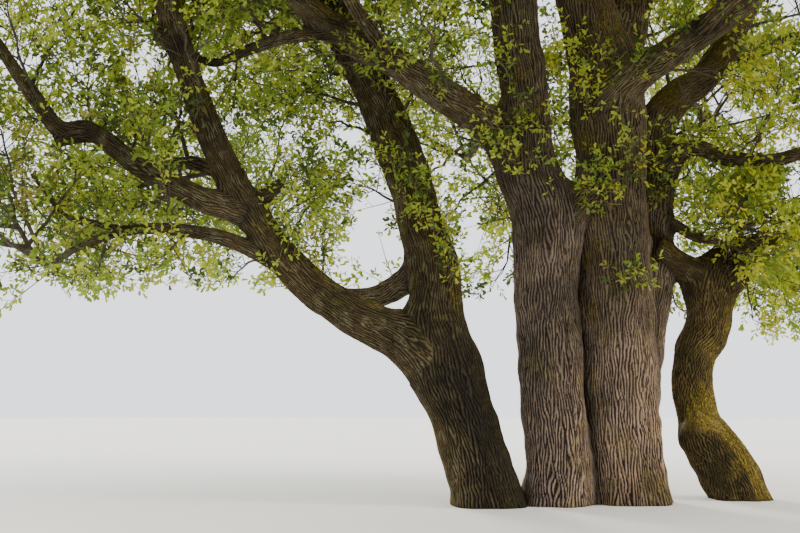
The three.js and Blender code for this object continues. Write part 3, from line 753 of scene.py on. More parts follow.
# Where moss grows: how much lies on upper sides, and near the ground
mossForm = {
    "stem_main": (0.25, 0.3), "stem_mid": (0.3, 0.15), "stem_left": (0.55, 0.25), "bough_left": (0.55, 0),
    "leader_back": (0.6, 0), "bough_front_right": (0.6, 0), "bough_cross": (0.55, 0), "arm_right": (0.6, 0),
}
usualMoss = (0.45, 0)
# Heights over which the bark turns from grey-brown to greener, with painted shade of the crown darkening it,
# and how much
mossAndShadeHeights = {
    "stem_main": (1.5, 3.4), "stem_mid": (2.6, 4.8), "graft_arm": (2.6, 4.8), "leader_back": (2.0, 3.8),
}
mossAndShadeAmounts = {"moss": 0.38, "dark": 0.27, "lessOnRight": 0.8}
# Moss and painted shade on stem_right: cushions round the fold above its knee, which falls away from its
# middle with the square of the distance, a film on its right, and painted shade in the fold and low on its
# left
kneeForm = {
    "height": 1.0, "middle": 0.87, "fall": 2, "foldWidth": 0.022, "foldDark": 0.5, "lowDark": 0.45,
    "cushions": [(0.06, 0.1, 1), (-0.14, 0.12, 0.5)],       # how far below the fold, width and share
    "moss": 0.2, "film": 0.42, "cushion": 0.45, "cushionOnRight": 0.6,
}
shadyStem = {"dark": 0.94, "heights": (2.8, 1.2)}       # stem_left, on the side that faces its neighbour
# Moss comes in patches of this size. It goes from none to full as a side turns up, and dies away above the
# ground over the low height. Patches shift how far up a side must face, and where bark turns greener and
# painted shade starts
mossGrowth = {"patch": 0.35, "facing": (-0.15, 0.75), "low": 0.3, "lowest": 1.6, "shift": 1.1, "shiftUp": 0.9}


# Moss on a limb, from 0 to 1, lies on upper sides in patches and near the ground. Painted shade multiplies
# its colour by less than 1 under the crown, in stem_right's fold, low on its left and on stem_left's side
# next to stem_mid.
def mossAndPaintedShade(name, points, normals):
    x, _, z = points.T
    aside, _, facing = normals.T
    onTop, nearGround = mossForm.get(name, usualMoss)
    patches = 0.5 + softNoise(points / mossGrowth["patch"])
    moss = onTop * smoothStep(*mossGrowth["facing"], facing + mossGrowth["shift"] * (patches - 0.5))
    moss += nearGround * np.exp(-np.maximum(z, 0) / mossGrowth["low"]) * patches * mossGrowth["lowest"]
    # painted shade: 1 where the bark is lit, less under the crown, in stem_right's fold and on shaded sides
    paintedShade = np.ones(len(points))
    if name in mossAndShadeHeights:
        low, high = mossAndShadeHeights[name]
        risen = z + mossGrowth["shiftUp"] * (patches - 0.5)
        shaded = 1 - mossAndShadeAmounts["lessOnRight"] * smoothStep(0.2, 0.75, aside)
        moss += mossAndShadeAmounts["moss"] * smoothStep(low, high, risen) * shaded
        # painted shade of the crown, weaker on the right side where the key light falls
        paintedShade -= mossAndShadeAmounts["dark"] * smoothStep(low - 0.8, high, risen) * shaded
    if name == "stem_right":
        above = z - kneeForm["height"] + kneeForm["fall"] * (x - kneeForm["middle"]) ** 2
        knee = 0
        for below, width, share in kneeForm["cushions"]:
            knee += share * np.exp(-((above + below) / width) ** 2)
        film = smoothStep(-0.5, 0.8, aside + 0.9 * (patches - 0.5))
        onRight = kneeForm["cushion"] + kneeForm["cushionOnRight"] * smoothStep(-0.9, 0.1, aside)
        moss = kneeForm["moss"] + kneeForm["film"] * film + knee * onRight
        onLeft = smoothStep(0.7, -0.1, aside)
        # painted shade low on the left side and in the fold above the knee
        paintedShade -= kneeForm["lowDark"] * smoothStep(0.85, 0.65, z + 0.3 * (x - 0.9)) * onLeft
        paintedShade -= kneeForm["foldDark"] * np.exp(-(above / kneeForm["foldWidth"]) ** 2)
    if name == "stem_left":
        side = smoothStep(-0.85, -0.1, aside + 0.5 * (patches - 0.5))
        paintedShade -= shadyStem["dark"] * side * smoothStep(*shadyStem["heights"], z)
    return np.clip(moss, 0, 1), paintedShade


# A limb's skin as a piece that replaces its solid. Gives its number of triangles.
def dressLimb(name):
    skin = barkSkin(name)
    piece = fillMesh("skin_" + name, skin["vertices"], skin["quads"], skin["caps"])
    normals = np.zeros(len(skin["vertices"]) * 3, np.float32)
    piece.data.vertices.foreach_get("normal", normals)
    # painted shade, multiplied into the crease attribute beside the painted shade between limbs
    moss, paintedShade = mossAndPaintedShade(name, skin["vertices"], normals.reshape(-1, 3))
    for attribute, values in (("ridges", skin["ridges"]), ("grain", skin["grain"]),
                              ("crease", skin["crease"] * paintedShade), ("moss", moss)):
        addAttribute(piece, attribute, values)
    piece.data.materials.append(barkLooks[barkOf.get(name, "bough")])
    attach(piece, "root")
    if name not in stubs:
        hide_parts(name)
    return len(skin["quads"]) * 2 + len(skin["caps"])


print("bark triangles:", sum(dressLimb(name) for name in limbs))

# The space of each mass, parted from its neighbours' by planes
spaceForm = {"clearance": 0.03}
powers = massReach.mean(1) ** 2
between = massCentre[None] - massCentre[:, None]
apart = np.linalg.norm(between, axis=2) + np.eye(len(masses))
planeNormal = between / apart[..., None]
size = (massCentre**2).sum(1)
planeLevel = (size[None] - powers[None] - size[:, None] + powers[:, None]) / (2 * apart)
planeLevel -= spaceForm["clearance"]
planeLevel[np.eye(len(masses), dtype=bool)] = endless


# The way left from p along direction before it leaves its space: out of the ellipsoid or across a plane.
# Space -1 has no end.
def roomAhead(space, p, direction):
    s = np.maximum(space, 0)
    d, u = (p - massCentre[s]) / massReach[s], direction / massReach[s]
    b, uu = (d * u).sum(1), (u * u).sum(1)
    inside = 1 - (d * d).sum(1)
    room = np.where(inside > 0, (-b + np.sqrt(np.maximum(b * b + uu * inside, 0))) / uu, 0)
    towards = np.einsum("nkj,nj->nk", planeNormal[s], direction)
    left = planeLevel[s] - np.einsum("nkj,nj->nk", planeNormal[s], p)
    across = np.where(towards > 1e-6, left / np.maximum(towards, 1e-6), endless)
    room = np.maximum(np.minimum(room, across.min(1)), 0)
    return np.where(space < 0, endless, room)


# Paths are arrays of joints. This is a joint's place and direction a share t along each chosen path.
def onPath(paths, which, t):
    last = paths.shape[1] - 1
    t = np.minimum(t, 0.999)
    k = np.clip((t * last).astype(int), 0, last - 1)
    a, b = paths[which, k], paths[which, k + 1]
    return a + (b - a) * (t * last - k)[:, None], unit(b - a)


# The part of each vector that is square to a direction, made a unit long.
def squareTo(direction, vectors):
    return unit(vectors - direction * (vectors * direction).sum(-1, keepdims=True))


# A shoot leaves a path at an angle, lean, from it and around it, and turns up by rise.
def leavePath(along, lean, around, rise):
    side = unit(np.cross(up, along))
    over = np.cross(along, side)
    out = along * np.cos(lean)[:, None] + side * (np.sin(lean) * np.cos(around))[:, None]
    out = out + over * (np.sin(lean) * np.sin(around))[:, None]
    out[:, 2] += rise
    return unit(out)


# A crooked path: straight on, bent by a square of the way along, with small kinks that grow from the root.
def crookedPaths(root, direction, length, form, seed):
    n, joints, bend = len(root), form["joints"], form["bend"]
    s = np.linspace(0, 1, joints)
    rng = np.random.default_rng(seed)
    aside = squareTo(direction, rng.normal(size=(n, 3)))
    paths = root[:, None] + direction[:, None] * (length[:, None] * s)[..., None]
    paths += (aside * bend + up * bend * 0.6)[:, None] * (length[:, None] * s**2)[..., None]
    growing = (length[:, None] * np.minimum(s, 0.6))[..., None]
    paths += rng.normal(size=(n, joints, 3)) * form["kink"] * growing
    return paths


# Radii that taper evenly from each root's to the tip's.
def taperedRadii(root, form):
    s = np.linspace(0, 1, form["joints"])
    return root[:, None] * (1 - s) + form["tip"] * s


# From each point of a line, ways out to the corners of the ring round it.
def ringCorners(ahead, sides):
    side = unit(np.cross(ahead, np.array([0.31, 0.17, 0.94])))
    over = np.cross(ahead, side)
    angle = np.arange(sides) * 2 * math.pi / sides
    return side[..., None, :] * np.cos(angle)[:, None] + over[..., None, :] * np.sin(angle)[:, None]


# The same faces again on each of n copies of so many points.
def repeatFaces(faces, n, points):
    return (faces + (np.arange(n) * points)[:, None, None]).reshape(-1, faces.shape[1])


# Tapering tubes round paths, each closed by a cap at its root and a point at its tip, as one mesh.
def tubesAround(paths, radii, sides):
    n, joints, _ = paths.shape
    ahead = unit(np.gradient(paths, axis=1))
    skin = paths[:, :, None] + ringCorners(ahead, sides) * radii[:, :, None, None]
    tips = paths[:, -1] + ahead[:, -1] * radii[:, -1:] * 3
    each = joints * sides + 1
    vertices = np.concatenate([skin.reshape(n, -1, 3), tips[:, None]], axis=1).reshape(-1, 3)
    foot = np.array([[0, j + 1, j] for j in range(1, sides - 1)])
    triangles = np.vstack([capFaces(sides, joints - 1, joints * sides), foot])
    return vertices, repeatFaces(ringQuads(joints, sides), n, each), repeatFaces(triangles, n, each)


# Stems of the masses: from the limb's tip through the middle of the space, bending up a little
massForm = {
    "rise": 0.25, "fill": 0.72, "joints": 14, "taper": [0.98, 0.8, 0.58, 0.22], "sides": 8,
    "rootIn": 0.04,         # how far inside the limb's tip it starts
    "lead": 0.4,            # how far it goes straight on, of the way to the middle
    "short": 0.25,          # how far short of the mass's middle that is, of the whole way
}
ends = [[values[-1] for values in alongLimb(limbs[name], 0.25)[:3]] for name in massLimb]
tips, tipRadii, headings = (np.array(values) for values in zip(*ends))
everyMass = np.arange(len(masses))
onward = unit(massCentre - tips)
onward[:, 2] += massForm["rise"]
onward = unit(onward)
middle = massCentre + (tips - massCentre) * massForm["short"]
end = massCentre + onward * (roomAhead(everyMass, massCentre, onward) * massForm["fill"])[:, None]
lead = tips + headings * (np.linalg.norm(middle - tips, axis=1) * massForm["lead"])[:, None]
stemPoints = np.stack([tips - headings * massForm["rootIn"], lead, middle, end], axis=1)
steps = np.linspace(0, 3, massForm["joints"])
massStems = np.stack([throughPoints(points, steps) for points in stemPoints])
stemRadii = tipRadii[:, None] * np.interp(steps, np.arange(4), massForm["taper"])

# Side branches turn round a stem by the golden angle and go most of the way to the edge of the space.
# Between those of the solids grow some more, by the same rule.
goldenTurn = math.radians(137.5)
branchForm = {
    "count": 7, "between": 5, "rise": 0.12, "fill": 0.93, "least": 0.3,
    "lean": 72, "leanFall": 34, "leanLuck": 12,     # in degrees: at the foot, less at the top, and by luck
    "from": (0.2, 0.16), "luck": (0.6, 0.4),        # along the stem, for the seven and for those between
    "radius": 0.024, "usual": 1.6, "power": 0.8,        # the root's radius at the usual length
    "radii": (0.01, 0.04), "tip": 0.004, "joints": 10, "bend": 0.1, "kink": 0.03, "sides": 5,
}
offLimbForm = {
    **branchForm, "lean": 62, "rise": 0.3, "bend": 0.12,
    "radius": 0.012, "thicker": 0.01,       # the root's, and how much more for each metre of length
    "clear": 0.05,
}
# How deep in a limb a shoot's root lies: its distance from the middle, of the radius
rootDepth = {"grown": 0.8, "shown": 0.6, "spray": 0.95}


# For each branch: its mass, how far along the stem it stands, how far it leans out and its turn round it.
def sideBranches():
    count, extra = branchForm["count"], branchForm["between"]
    (low, lowExtra), (luck, luckExtra) = branchForm["from"], branchForm["luck"]
    i, j = np.arange(count), np.arange(extra) + 0.5
    rows = []
    for m in everyMass:
        seed = 10 * (m + 1)
        share = low + (1 - low) * (i + luck * dice(seed + i)) / count
        t = np.concatenate([share, lowExtra + (1 - lowExtra) * (j + luckExtra * dice(seed + j)) / extra])
        leanLuck = branchForm["leanLuck"] * dice(seed + np.concatenate([i, j]) + 40)
        lean = branchForm["lean"] - branchForm["leanFall"] * t + leanLuck
        around = np.concatenate([i * goldenTurn + seed, j * goldenTurn * 1.7 + seed + 2])
        rows.append((np.full(count + extra, m), t, np.radians(lean), around))
    return joined(rows)


branchSpace, t, lean, around = sideBranches()
root, along = onPath(massStems, branchSpace, t)
direction = leavePath(along, lean, around, branchForm["rise"])
length = roomAhead(branchSpace, root, direction) * branchForm["fill"]
keep = length > branchForm["least"]
branchSpace, root, direction, length = picked(keep, branchSpace, root, direction, length)
branches = crookedPaths(root, direction, length, branchForm, 1)
rootRadii = branchForm["radius"] * (length / branchForm["usual"]) ** branchForm["power"]
branchRadii = taperedRadii(np.clip(rootRadii, *branchForm["radii"]), branchForm)

# Branches and twigs also leave the limbs themselves. For each of the two: how many, from which height to
# which, in metres, and how long
offLimb = {
    "stem_main": [(10, 5.6, 11.8, 1.9), (50, 3.0, 11.5, 0.55)],
    "stem_mid": [(10, 4.7, 9.8, 1.8), (50, 2.9, 9.8, 0.55)],
    "stem_left": [(11, 4.2, 8.4, 1.9), (60, 2.3, 8.4, 0.6)],
    "stem_right": [(4, 2.6, 3.2, 0.9), (22, 2.3, 3.2, 0.5)],
    "leader_back": [(11, 4.3, 7.5, 1.7), (34, 3.2, 7.4, 0.6)],
    "leader_centre": [(8, 5.2, 9.8, 1.8), (20, 4.8, 9.6, 0.6)],
    "bough_left": [(11, 3.5, 7.3, 1.8), (54, 2.4, 7.3, 0.6)],
    "bough_left_long": [(9, 3.35, 5.0, 1.3), (30, 3.3, 5.0, 0.6)],
    "bough_left_low": [(5, 2.7, 3.0, 0.9), (24, 2.7, 3.1, 0.5)],
    "bough_left_rear": [(5, 2.4, 3.0, 1.2), (12, 2.4, 3.0, 0.5)],
    "bough_cross": [(10, 4.4, 6.7, 1.5), (40, 4.0, 6.8, 0.6)],
    "bough_cross_side": [(5, 5.0, 5.4, 1.1), (14, 4.9, 5.4, 0.5)],
    "bough_front_right": [(8, 4.9, 6.8, 1.4), (26, 4.7, 6.9, 0.6)],
    "bough_right": [(8, 3.9, 4.8, 1.3), (26, 3.9, 4.8, 0.6)],
    "bough_right_low": [(2, 2.9, 3.1, 0.7), (7, 2.9, 3.3, 0.4)],
}
offMassBough = [(6, 0, 99, 1.5), (12, 0, 99, 0.6)]


# Places, directions and lengths of the branches, kind 0, or twigs, kind 1, that leave the limbs' bark, at
# nearly even steps, each turned on by the golden angle.
def offLimbs(kind, form, seed):
    rows = []
    for number, name in enumerate(limbs):
        count, low, high, most = offLimb.get(name, offMassBough)[kind]
        if name in stubs or (name in boughs and name not in offLimb):
            continue
        place, radius, direction, _ = alongLimb(limbs[name], 0.05)
        fits = np.nonzero((place[:, 2] > low) & (place[:, 2] < high))[0]
        fits = fits[fits > 0.15 * len(place)]
        rng = np.random.default_rng(number + seed)
        even = (np.arange(count) + rng.uniform(0, 1, count)) / count
        k = fits[(even * len(fits)).astype(int)]
        angle = np.arange(count) * goldenTurn + rng.uniform(0, 6.3) + rng.normal(0, 0.3, count)
        out = leavePath(direction[k], np.full(count, math.radians(form["lean"])), angle, form["rise"])
        root = place[k] + squareTo(direction[k], out) * (radius[k] * rootDepth["grown"])[:, None]
        rows.append((root, out, most * rng.uniform(0.45, 1.1, count)))
    return joined(rows)


# How far outside the limbs a shoot's end is, or a point a share of the way to it if that is less.
def clearOfLimbs(root, direction, length, share):
    reach = direction * length[:, None]
    return np.minimum(anyLimbGap(root + reach), anyLimbGap(root + reach * share))


root, direction, length = offLimbs(0, offLimbForm, 90)
keep = clearOfLimbs(root, direction, length, 0.5) > offLimbForm["clear"]
root, direction, length = picked(keep, root, direction, length)

# Single branches that the photo shows: limb, height in metres, direction and length
shownBranches = [
    ("bough_back_low", 3.8, (-0.12, 0.2, -0.95), 1.7), ("bough_back_low", 4.2, (-0.75, 0.1, -0.6), 1.3),
    ("stem_left", 4.6, (-0.8, 0.5, 0.35), 1.6), ("stem_left", 5.0, (-0.9, 0.2, 0.2), 1.3),
    ("stem_left", 4.2, (-0.7, 0.6, 0.4), 1.5), ("stem_left", 3.3, (-0.6, 0.7, 0.35), 1.1),
    ("bough_left", 3.0, (0.45, 0.75, 0.45), 1.2), ("stem_main", 4.6, (-0.4, 0.8, 0.4), 1.0),
    ("leader_back", 3.5, (0.7, 0.3, 0.5), 0.9), ("stem_mid", 5.0, (-0.6, 0.7, 0.2), 1.2),
    ("leader_back", 2.9, (0.35, 0.9, -0.12), 1.9), ("leader_back", 3.2, (0.36, 0.62, -0.72), 1.35),
    ("stem_right", 3.0, (0.1, 0.1, -0.9), 0.95), ("stem_right", 3.1, (0.5, 0.1, -0.8), 1.0),
]
for name, height, towards, reach in shownBranches:
    place, radius, _ = atHeight(name, height)
    towards = unit(np.array(towards))
    root = np.vstack([root, place + towards * radius * rootDepth["shown"]])
    direction = np.vstack([direction, towards])
    length = np.append(length, reach)
branches = np.concatenate([branches, crookedPaths(root, direction, length, offLimbForm, 7)])
rootRadii = offLimbForm["radius"] + offLimbForm["thicker"] * length
branchRadii = np.concatenate([branchRadii, taperedRadii(rootRadii, offLimbForm)])
branchSpace = np.concatenate([branchSpace, np.full(len(length), -1)])

cameraForm = {"place": (-2.59, -12.5, 1.08), "pitch": 7.2, "lens": 49.45, "sensor": 36, "far": 400}
photoForm = {"wide": 800, "middle": (400, 266.5), "margin": 30}     # the photo, in its pixels
# Openings onto the sky in the photo, and places fuller than most: across, down and radius in its pixels
openings = [
    (144, 61, 15), (0, 141, 14), (473, 67, 17), (341, 129, 8), (471, 243, 13), (730, 95, 9), (250, 27, 8),
    (178, 117, 7), (797, 4, 18), (722, 99, 14), (252, 266, 13), (799, 184, 14), (402, 268, 13),
    (124, 252, 12), (295, 211, 13), (230, 126, 9), (354, 134, 9), (12, 45, 9), (269, 15, 10), (45, 296, 16),
    (738, 116, 11), (375, 245, 20), (467, 216, 14), (366, 210, 13), (358, 173, 9), (137, 78, 8),
    (385, 196, 9),
]
fullerPlaces = [
    (352, 271, 16), (500, 262, 20), (324, 240, 14), (58, 70, 14), (300, 105, 26), (34, 217, 30),
    (-5, 264, 50), (300, 180, 20), (495, 240, 32), (555, 70, 20), (688, 174, 16), (190, 270, 34),
    (548, 6, 16), (612, 10, 20), (676, 4, 14), (315, 130, 12), (675, 305, 24), (800, 272, 24),
    (559, 155, 14),
]
# How low the leaves hang in the photo: across and down
lowestLeaves = [
    (0, 322), (30, 300), (76, 298), (150, 290), (260, 288), (300, 286), (345, 284), (385, 276), (420, 282),
    (455, 300), (560, 304), (660, 325), (700, 327), (760, 340), (800, 348),
]
# How far an opening is clear and how wide its edge is, of its radius, the share that stays in it all the
# same, and how wide the lower edge of the leaves is, in pixels
openingForm = {"clear": 0.8, "blur": 0.45, "stays": 0.12, "blurBelow": 10}


# Where points fall in the photo, in its pixels: across and up divided by depth, times the lens.
def photoSpot(points):
    tilt = math.radians(cameraForm["pitch"])
    ray = points - np.array(cameraForm["place"])
    depth = ray[:, 1] * math.cos(tilt) + ray[:, 2] * math.sin(tilt)
    rise = ray[:, 2] * math.cos(tilt) - ray[:, 1] * math.sin(tilt)
    scale = cameraForm["lens"] / cameraForm["sensor"] * photoForm["wide"] / np.maximum(depth, 0.1)
    across, down = photoForm["middle"]
    return across + ray[:, 0] * scale, down - rise * scale


# The share of a disc's radius that each spot lies from the nearest disc's middle.
def discShare(spot, discs):
    return np.min([np.hypot(spot[0] - u, spot[1] - v) / r for u, v, r in discs], axis=0)


# Which points fall in the photo or just past its left, right and upper edges.
def inPhoto(points):
    across, down = photoSpot(points)
    margin = photoForm["margin"]
    return (across > -margin) & (across < photoForm["wide"] + margin) & (down > -margin)


# In the photo, what grows into an opening or below the lowest leaves is left out. Luck blurs both edges.
def keepAroundOpenings(points, luck):
    spot = photoSpot(points)
    inOpening = discShare(spot, openings) < openingForm["clear"] + openingForm["blur"] * luck
    edge = np.interp(spot[0], *zip(*lowestLeaves)) + openingForm["blurBelow"] * (luck - 0.5)
    return ~inPhoto(points) | ~((inOpening & (luck > openingForm["stays"])) | (spot[1] > edge))


# The photo shows these limbs through the leaves: the share kept of the shoots that stand before them
leftBefore = {
    "bough_left": 0.14, "bough_left_long": 0.24, "bough_left_low": 0.2, "bough_cross": 0.25, "stem_left": 0.3,
    "stem_mid": 0.35, "stem_main": 0.5, "leader_back": 0.4, "bough_right": 0.3, "bough_front_right": 0.3,
    "leader_centre": 0.4, "stem_right": 0.2, "arm_right": 0.1, "bough_left_rear": 0.2,
    "bough_cross_side": 0.15,
}
limbSight = 1.1         # how near a limb's middle counts as before it, of its radius


# A shoot stands before a limb if its sight line from the camera comes near the limb's middle further on.
def keepBeforeLimbs(points, luck):
    eye = np.array(cameraForm["place"])
    ray = points - eye
    depth = ray[:, 1]
    spot = ray[:, [0, 2]] / depth[:, None]
    kept = np.ones(len(points), bool)
    for name, share in leftBefore.items():
        place, radius, _, _ = alongLimb(limbs[name], 0.1)
        away = place - eye
        limbSpot = away[:, [0, 2]] / away[:, 1:2]
        apart = np.linalg.norm(spot[:, None] - limbSpot[None], axis=2)
        hides = (apart < (radius / away[:, 1])[None] * limbSight) & (depth[:, None] < away[None, :, 1])
        kept &= ~hides.any(1) | (luck < share)
    return kept | ~inPhoto(points)


# Branches are cut short where they would hang below the crown's edge or stand in an opening
cutForm = {"times": 4, "left": 0.75}
for _ in range(cutForm["times"]):
    outside = ~keepAroundOpenings(branches[:, -1], 0.5)
    along = np.linspace(0, cutForm["left"] * (branchForm["joints"] - 1), branchForm["joints"])
    k = along.astype(int)
    part = (along - k)[None, :, None]
    nearer = branches[outside]
    branches[outside] = nearer[:, k] * (1 - part) + nearer[:, k + 1] * part

# Twigs along the branches and stems, and straight from the limbs' bark
twigForm = {
    "perBranch": 13, "perStem": 8, "most": 0.9, "lean": 58, "rise": 0.12, "fill": 0.95, "least": 0.14,
    "from": 0.12, "leanLuck": 16, "luck": (0.7, 0.5),
    "leans": (1.1, 0.55), "lengths": (1.05, 0.45),      # shares at the path's root, and less at its end
    "radius": 0.0085, "tip": 0.003, "joints": 4, "bend": 0.12, "kink": 0.04, "sides": 3, "clear": 0.02,
}
# Masses that the photo shows keep all their twigs, the others this share of them
shownMasses = {
    "low_left", "far_left", "inner_left", "left_behind", "rear_left", "back_low", "back_left", "back_side",
    "right_small", "right_low",
}
elsewhere = 0.5
shareKept = np.array([1.0 if name in shownMasses else elsewhere for name in masses] + [1.0])


# Twigs along paths, at nearly even steps by the golden angle, leaning less and shorter further out.
def twigsOffPaths(paths, space, perPath, seed):
    i = np.tile(np.arange(perPath), len(paths))
    which = np.repeat(np.arange(len(paths)), perPath)
    t = (i + 0.25 + 0.6 * dice(seed + which * 1.7 + i)) / perPath
    t = twigForm["from"] + (1 - twigForm["from"]) * np.minimum(t, 1)
    root, along = onPath(paths, which, t)
    (leaning, leanLess), (long, shorter) = twigForm["leans"], twigForm["lengths"]
    least, more = twigForm["luck"]
    leanLuck = twigForm["leanLuck"] * (dice(seed + which + 3 * i) - 0.5)
    lean = np.radians(twigForm["lean"] * (leaning - leanLess * t) + leanLuck)
    direction = leavePath(along, lean, i * goldenTurn + which * 2.1, twigForm["rise"])
    most = twigForm["most"] * (long - shorter * t) * (least + more * dice(seed + 5 * which + i))
    length = np.minimum(most, roomAhead(space[which], root, direction) * twigForm["fill"])
    kept = dice(which * 3.7 + i * 1.3 + seed) < shareKept[space[which]]
    return picked(kept, space[which], root, direction, length)


root, direction, length = offLimbs(1, {**twigForm, "lean": 68, "rise": 0.35}, 40)
groups = [
    twigsOffPaths(branches, branchSpace, twigForm["perBranch"], 3),
    twigsOffPaths(massStems, everyMass, twigForm["perStem"], 4),
    (np.full(len(length), -1), root, direction, length),
]
twigSpace, root, direction, length = joined(groups)
keep = (length > twigForm["least"]) & (clearOfLimbs(root, direction, length, 0.6) > twigForm["clear"])
twigSpace, root, direction, length = picked(keep, twigSpace, root, direction, length)
twigs = crookedPaths(root, direction, length, twigForm, 2)
luck = dice(np.arange(len(twigs)) * 0.57 + 2)
keep = keepBeforeLimbs(twigs[:, -1], luck) & keepBeforeLimbs(twigs[:, 2], luck)
keep &= keepAroundOpenings(twigs[:, -1], luck)
twigSpace, twigs, length = picked(keep, twigSpace, twigs, length)
twigRadii = taperedRadii(twigForm["radius"] * (length / twigForm["most"]) ** 0.5, twigForm)

# Sprays of leaves that the photo shows on the bark: height in metres, turn to the right of the camera's side
# in degrees, and length
sprayForm = {
    **twigForm, "radius": 0.006, "bend": 0.2, "kink": 0.09,
    "apart": 0.08, "out": 0.8, "up": 0.3, "toss": 0.5, "reach": (0.7, 1.1),
}
sprays = {
    "stem_left": [
        (5.3, 0, 0.5), (4.6, 20, 0.5), (3.7, -20, 0.45), (3.4, 5, 0.4), (3.15, 0, 0.45), (2.9, 15, 0.4),
        (2.6, 25, 0.4), (2.35, 30, 0.35)],
    "stem_mid": [(5.45, -30, 0.5), (4.75, -35, 0.45), (4.3, 30, 0.4), (3.9, -30, 0.4)],
    "graft_arm": [(3.6, 10, 0.45), (3.35, -10, 0.35)],
    "stem_main": [
        (5.0, -10, 0.5), (4.75, 10, 0.5), (4.45, -25, 0.45), (3.75, 10, 0.5), (3.4, 15, 0.45),
        (2.42, 25, 0.3)],
    "leader_back": [(4.3, -20, 0.45), (3.75, -10, 0.5), (3.5, 15, 0.5)],
    "bough_front_right": [(4.75, 0, 0.45), (5.3, 10, 0.5)],
    "bough_left": [(2.95, 30, 0.45), (2.7, 20, 0.4), (4.4, 0, 0.45)],
    "bough_cross": [(4.2, 20, 0.45), (4.6, 0, 0.5), (5.0, 0, 0.5)],
    "stem_right": [(2.7, 10, 0.4)],
}


# Three twigs, one above the other, for each spray.
def sprayTwigs():
    rng = np.random.default_rng(61)
    rows = []
    for name, places in sprays.items():
        for height, turn, reach in places:
            place, radius, direction = atHeight(name, height)
            towards = np.array(cameraForm["place"]) - place
            towards = unit(towards - direction * (towards @ direction))
            aside = np.cross(direction, towards)
            out = towards * math.cos(math.radians(turn)) + aside * math.sin(math.radians(turn))
            for i in (-1, 0, 1):
                root = place + out * radius * rootDepth["spray"] + direction * sprayForm["apart"] * i
                leaning = out * sprayForm["out"] + up * sprayForm["up"]
                leaning = unit(leaning + rng.normal(size=3) * sprayForm["toss"])
                rows.append((root, leaning, reach * rng.uniform(*sprayForm["reach"])))
    return (np.array(values) for values in zip(*rows))


root, direction, length = sprayTwigs()
freeTwigs = len(twigs)      # those after them are on the bark
twigs = np.concatenate([twigs, crookedPaths(root, direction, length, sprayForm, 5)])
twigRadii = np.concatenate([twigRadii, taperedRadii(np.full(len(root), sprayForm["radius"]), sprayForm)])
twigSpace = np.concatenate([twigSpace, np.full(len(root), -1)])
print("branches:", len(branches), "twigs:", len(twigs))

# Shoots along the twigs carry the leaves
shootForm = {
    "perTwig": 6, "most": 0.25, "lean": 48, "rise": 0.12, "least": 0.05, "radius": 0.0035, "sides": 3,
    "clear": 0.02,          # of the limbs
    "from": 0.2, "to": 0.97, "lastLean": 0.05,      # along the twig, and the last one's lean from it
    "leans": (0.8, 0.5), "luck": (0.6, 0.6),        # the least, and how much more by luck
    "beyondBox": 0.06,      # how far a shoot may go outside the solids' box
}


# Shoots in the same way along the chosen twigs, the last straight on from the tip.
def shootsOffTwigs(chosen, shift):
    per = shootForm["perTwig"]
    i = np.tile(np.arange(per), len(chosen))
    which = np.repeat(chosen, per)
    low = shootForm["from"]
    t = low + (1 - low) * (i + 0.5 + 0.5 * (dice(which + 9 * i + shift) - 0.5)) / (per - 0.5)
    last = i == per - 1
    root, along = onPath(twigs, which, np.where(last, 1, np.minimum(t, shootForm["to"])))
    (leanLeast, leanMore), (least, more) = shootForm["leans"], shootForm["luck"]
    lean = np.radians(shootForm["lean"] * (leanLeast + leanMore * dice(2 * which + i)))
    lean = np.where(last, shootForm["lastLean"], lean)
    direction = leavePath(along, lean, i * goldenTurn + which * 3.3 + shift, shootForm["rise"])
    most = shootForm["most"] * (least + more * dice(which * 1.3 + i * 2.7))
    length = np.minimum(most, roomAhead(twigSpace[which], root, direction))
    return twigSpace[which], which, root, direction, length


everyTwig = np.arange(len(twigs))
fuller = everyTwig[discShare(photoSpot(twigs[:, 2]), fullerPlaces) < 1]
helpings = [shootsOffTwigs(everyTwig, 0), shootsOffTwigs(fuller, 2.6)]
shootSpace, shootTwig, root, direction, length = joined(helpings)
tip = root + direction * length[:, None]
low, high = np.array(cadBox)
beyond = shootForm["beyondBox"]
keep = (length > shootForm["least"]) & (anyLimbGap(tip) > shootForm["clear"])
keep &= np.all((tip > low - beyond) & (tip < high + beyond), axis=1)
keep &= (shootTwig >= freeTwigs) | (keepBeforeLimbs(tip, dice(shootTwig * 0.57 + 2))
                                    & keepAroundOpenings(tip, dice(np.arange(len(tip)) * 1.37 + 4)))
shootSpace, shootTwig, shoots = picked(keep, shootSpace, shootTwig, np.stack([root, tip], axis=1))
print("shoots:", len(shoots))

# Leaves: an outline in leaf lengths, folded up along the rib, the tip hanging. The lobed one is for the lower
# crown, and a plainer, larger one for the crown above.
leafForm = {
    "lobed": [(0, 0), (0.28, 0.19), (0.5, 0.13), (0.76, 0.27), (1, 0), (0.66, -0.26), (0.3, -0.18)],
    "plain": [(0, 0), (0.36, 0.23), (0.76, 0.24), (1, 0), (0.74, -0.24), (0.34, -0.22)],
    "fold": 0.35, "droop": 0.12, "perShoot": 6, "toss": 0.85,
    "spread": 0.75, "crowding": 1.4,        # down the shoot from its tip
    "lean": 60, "leans": (0.45, 0.8), "leanLuck": 14, "rise": -0.05, "luck": (0.7, 1.2),
    "lengths": [0.083, 0.15], "heights": [6.6, 8.2],       # from below the first height to above the second
    "inFront": 0.72,        # how much shorter the leaves nearest the camera are
    "depths": [-5.5, -1.2],     # from which depth to which
    "notShown": 1.35,       # how much longer those outside the photo are
    "onBark": 0.9,
}
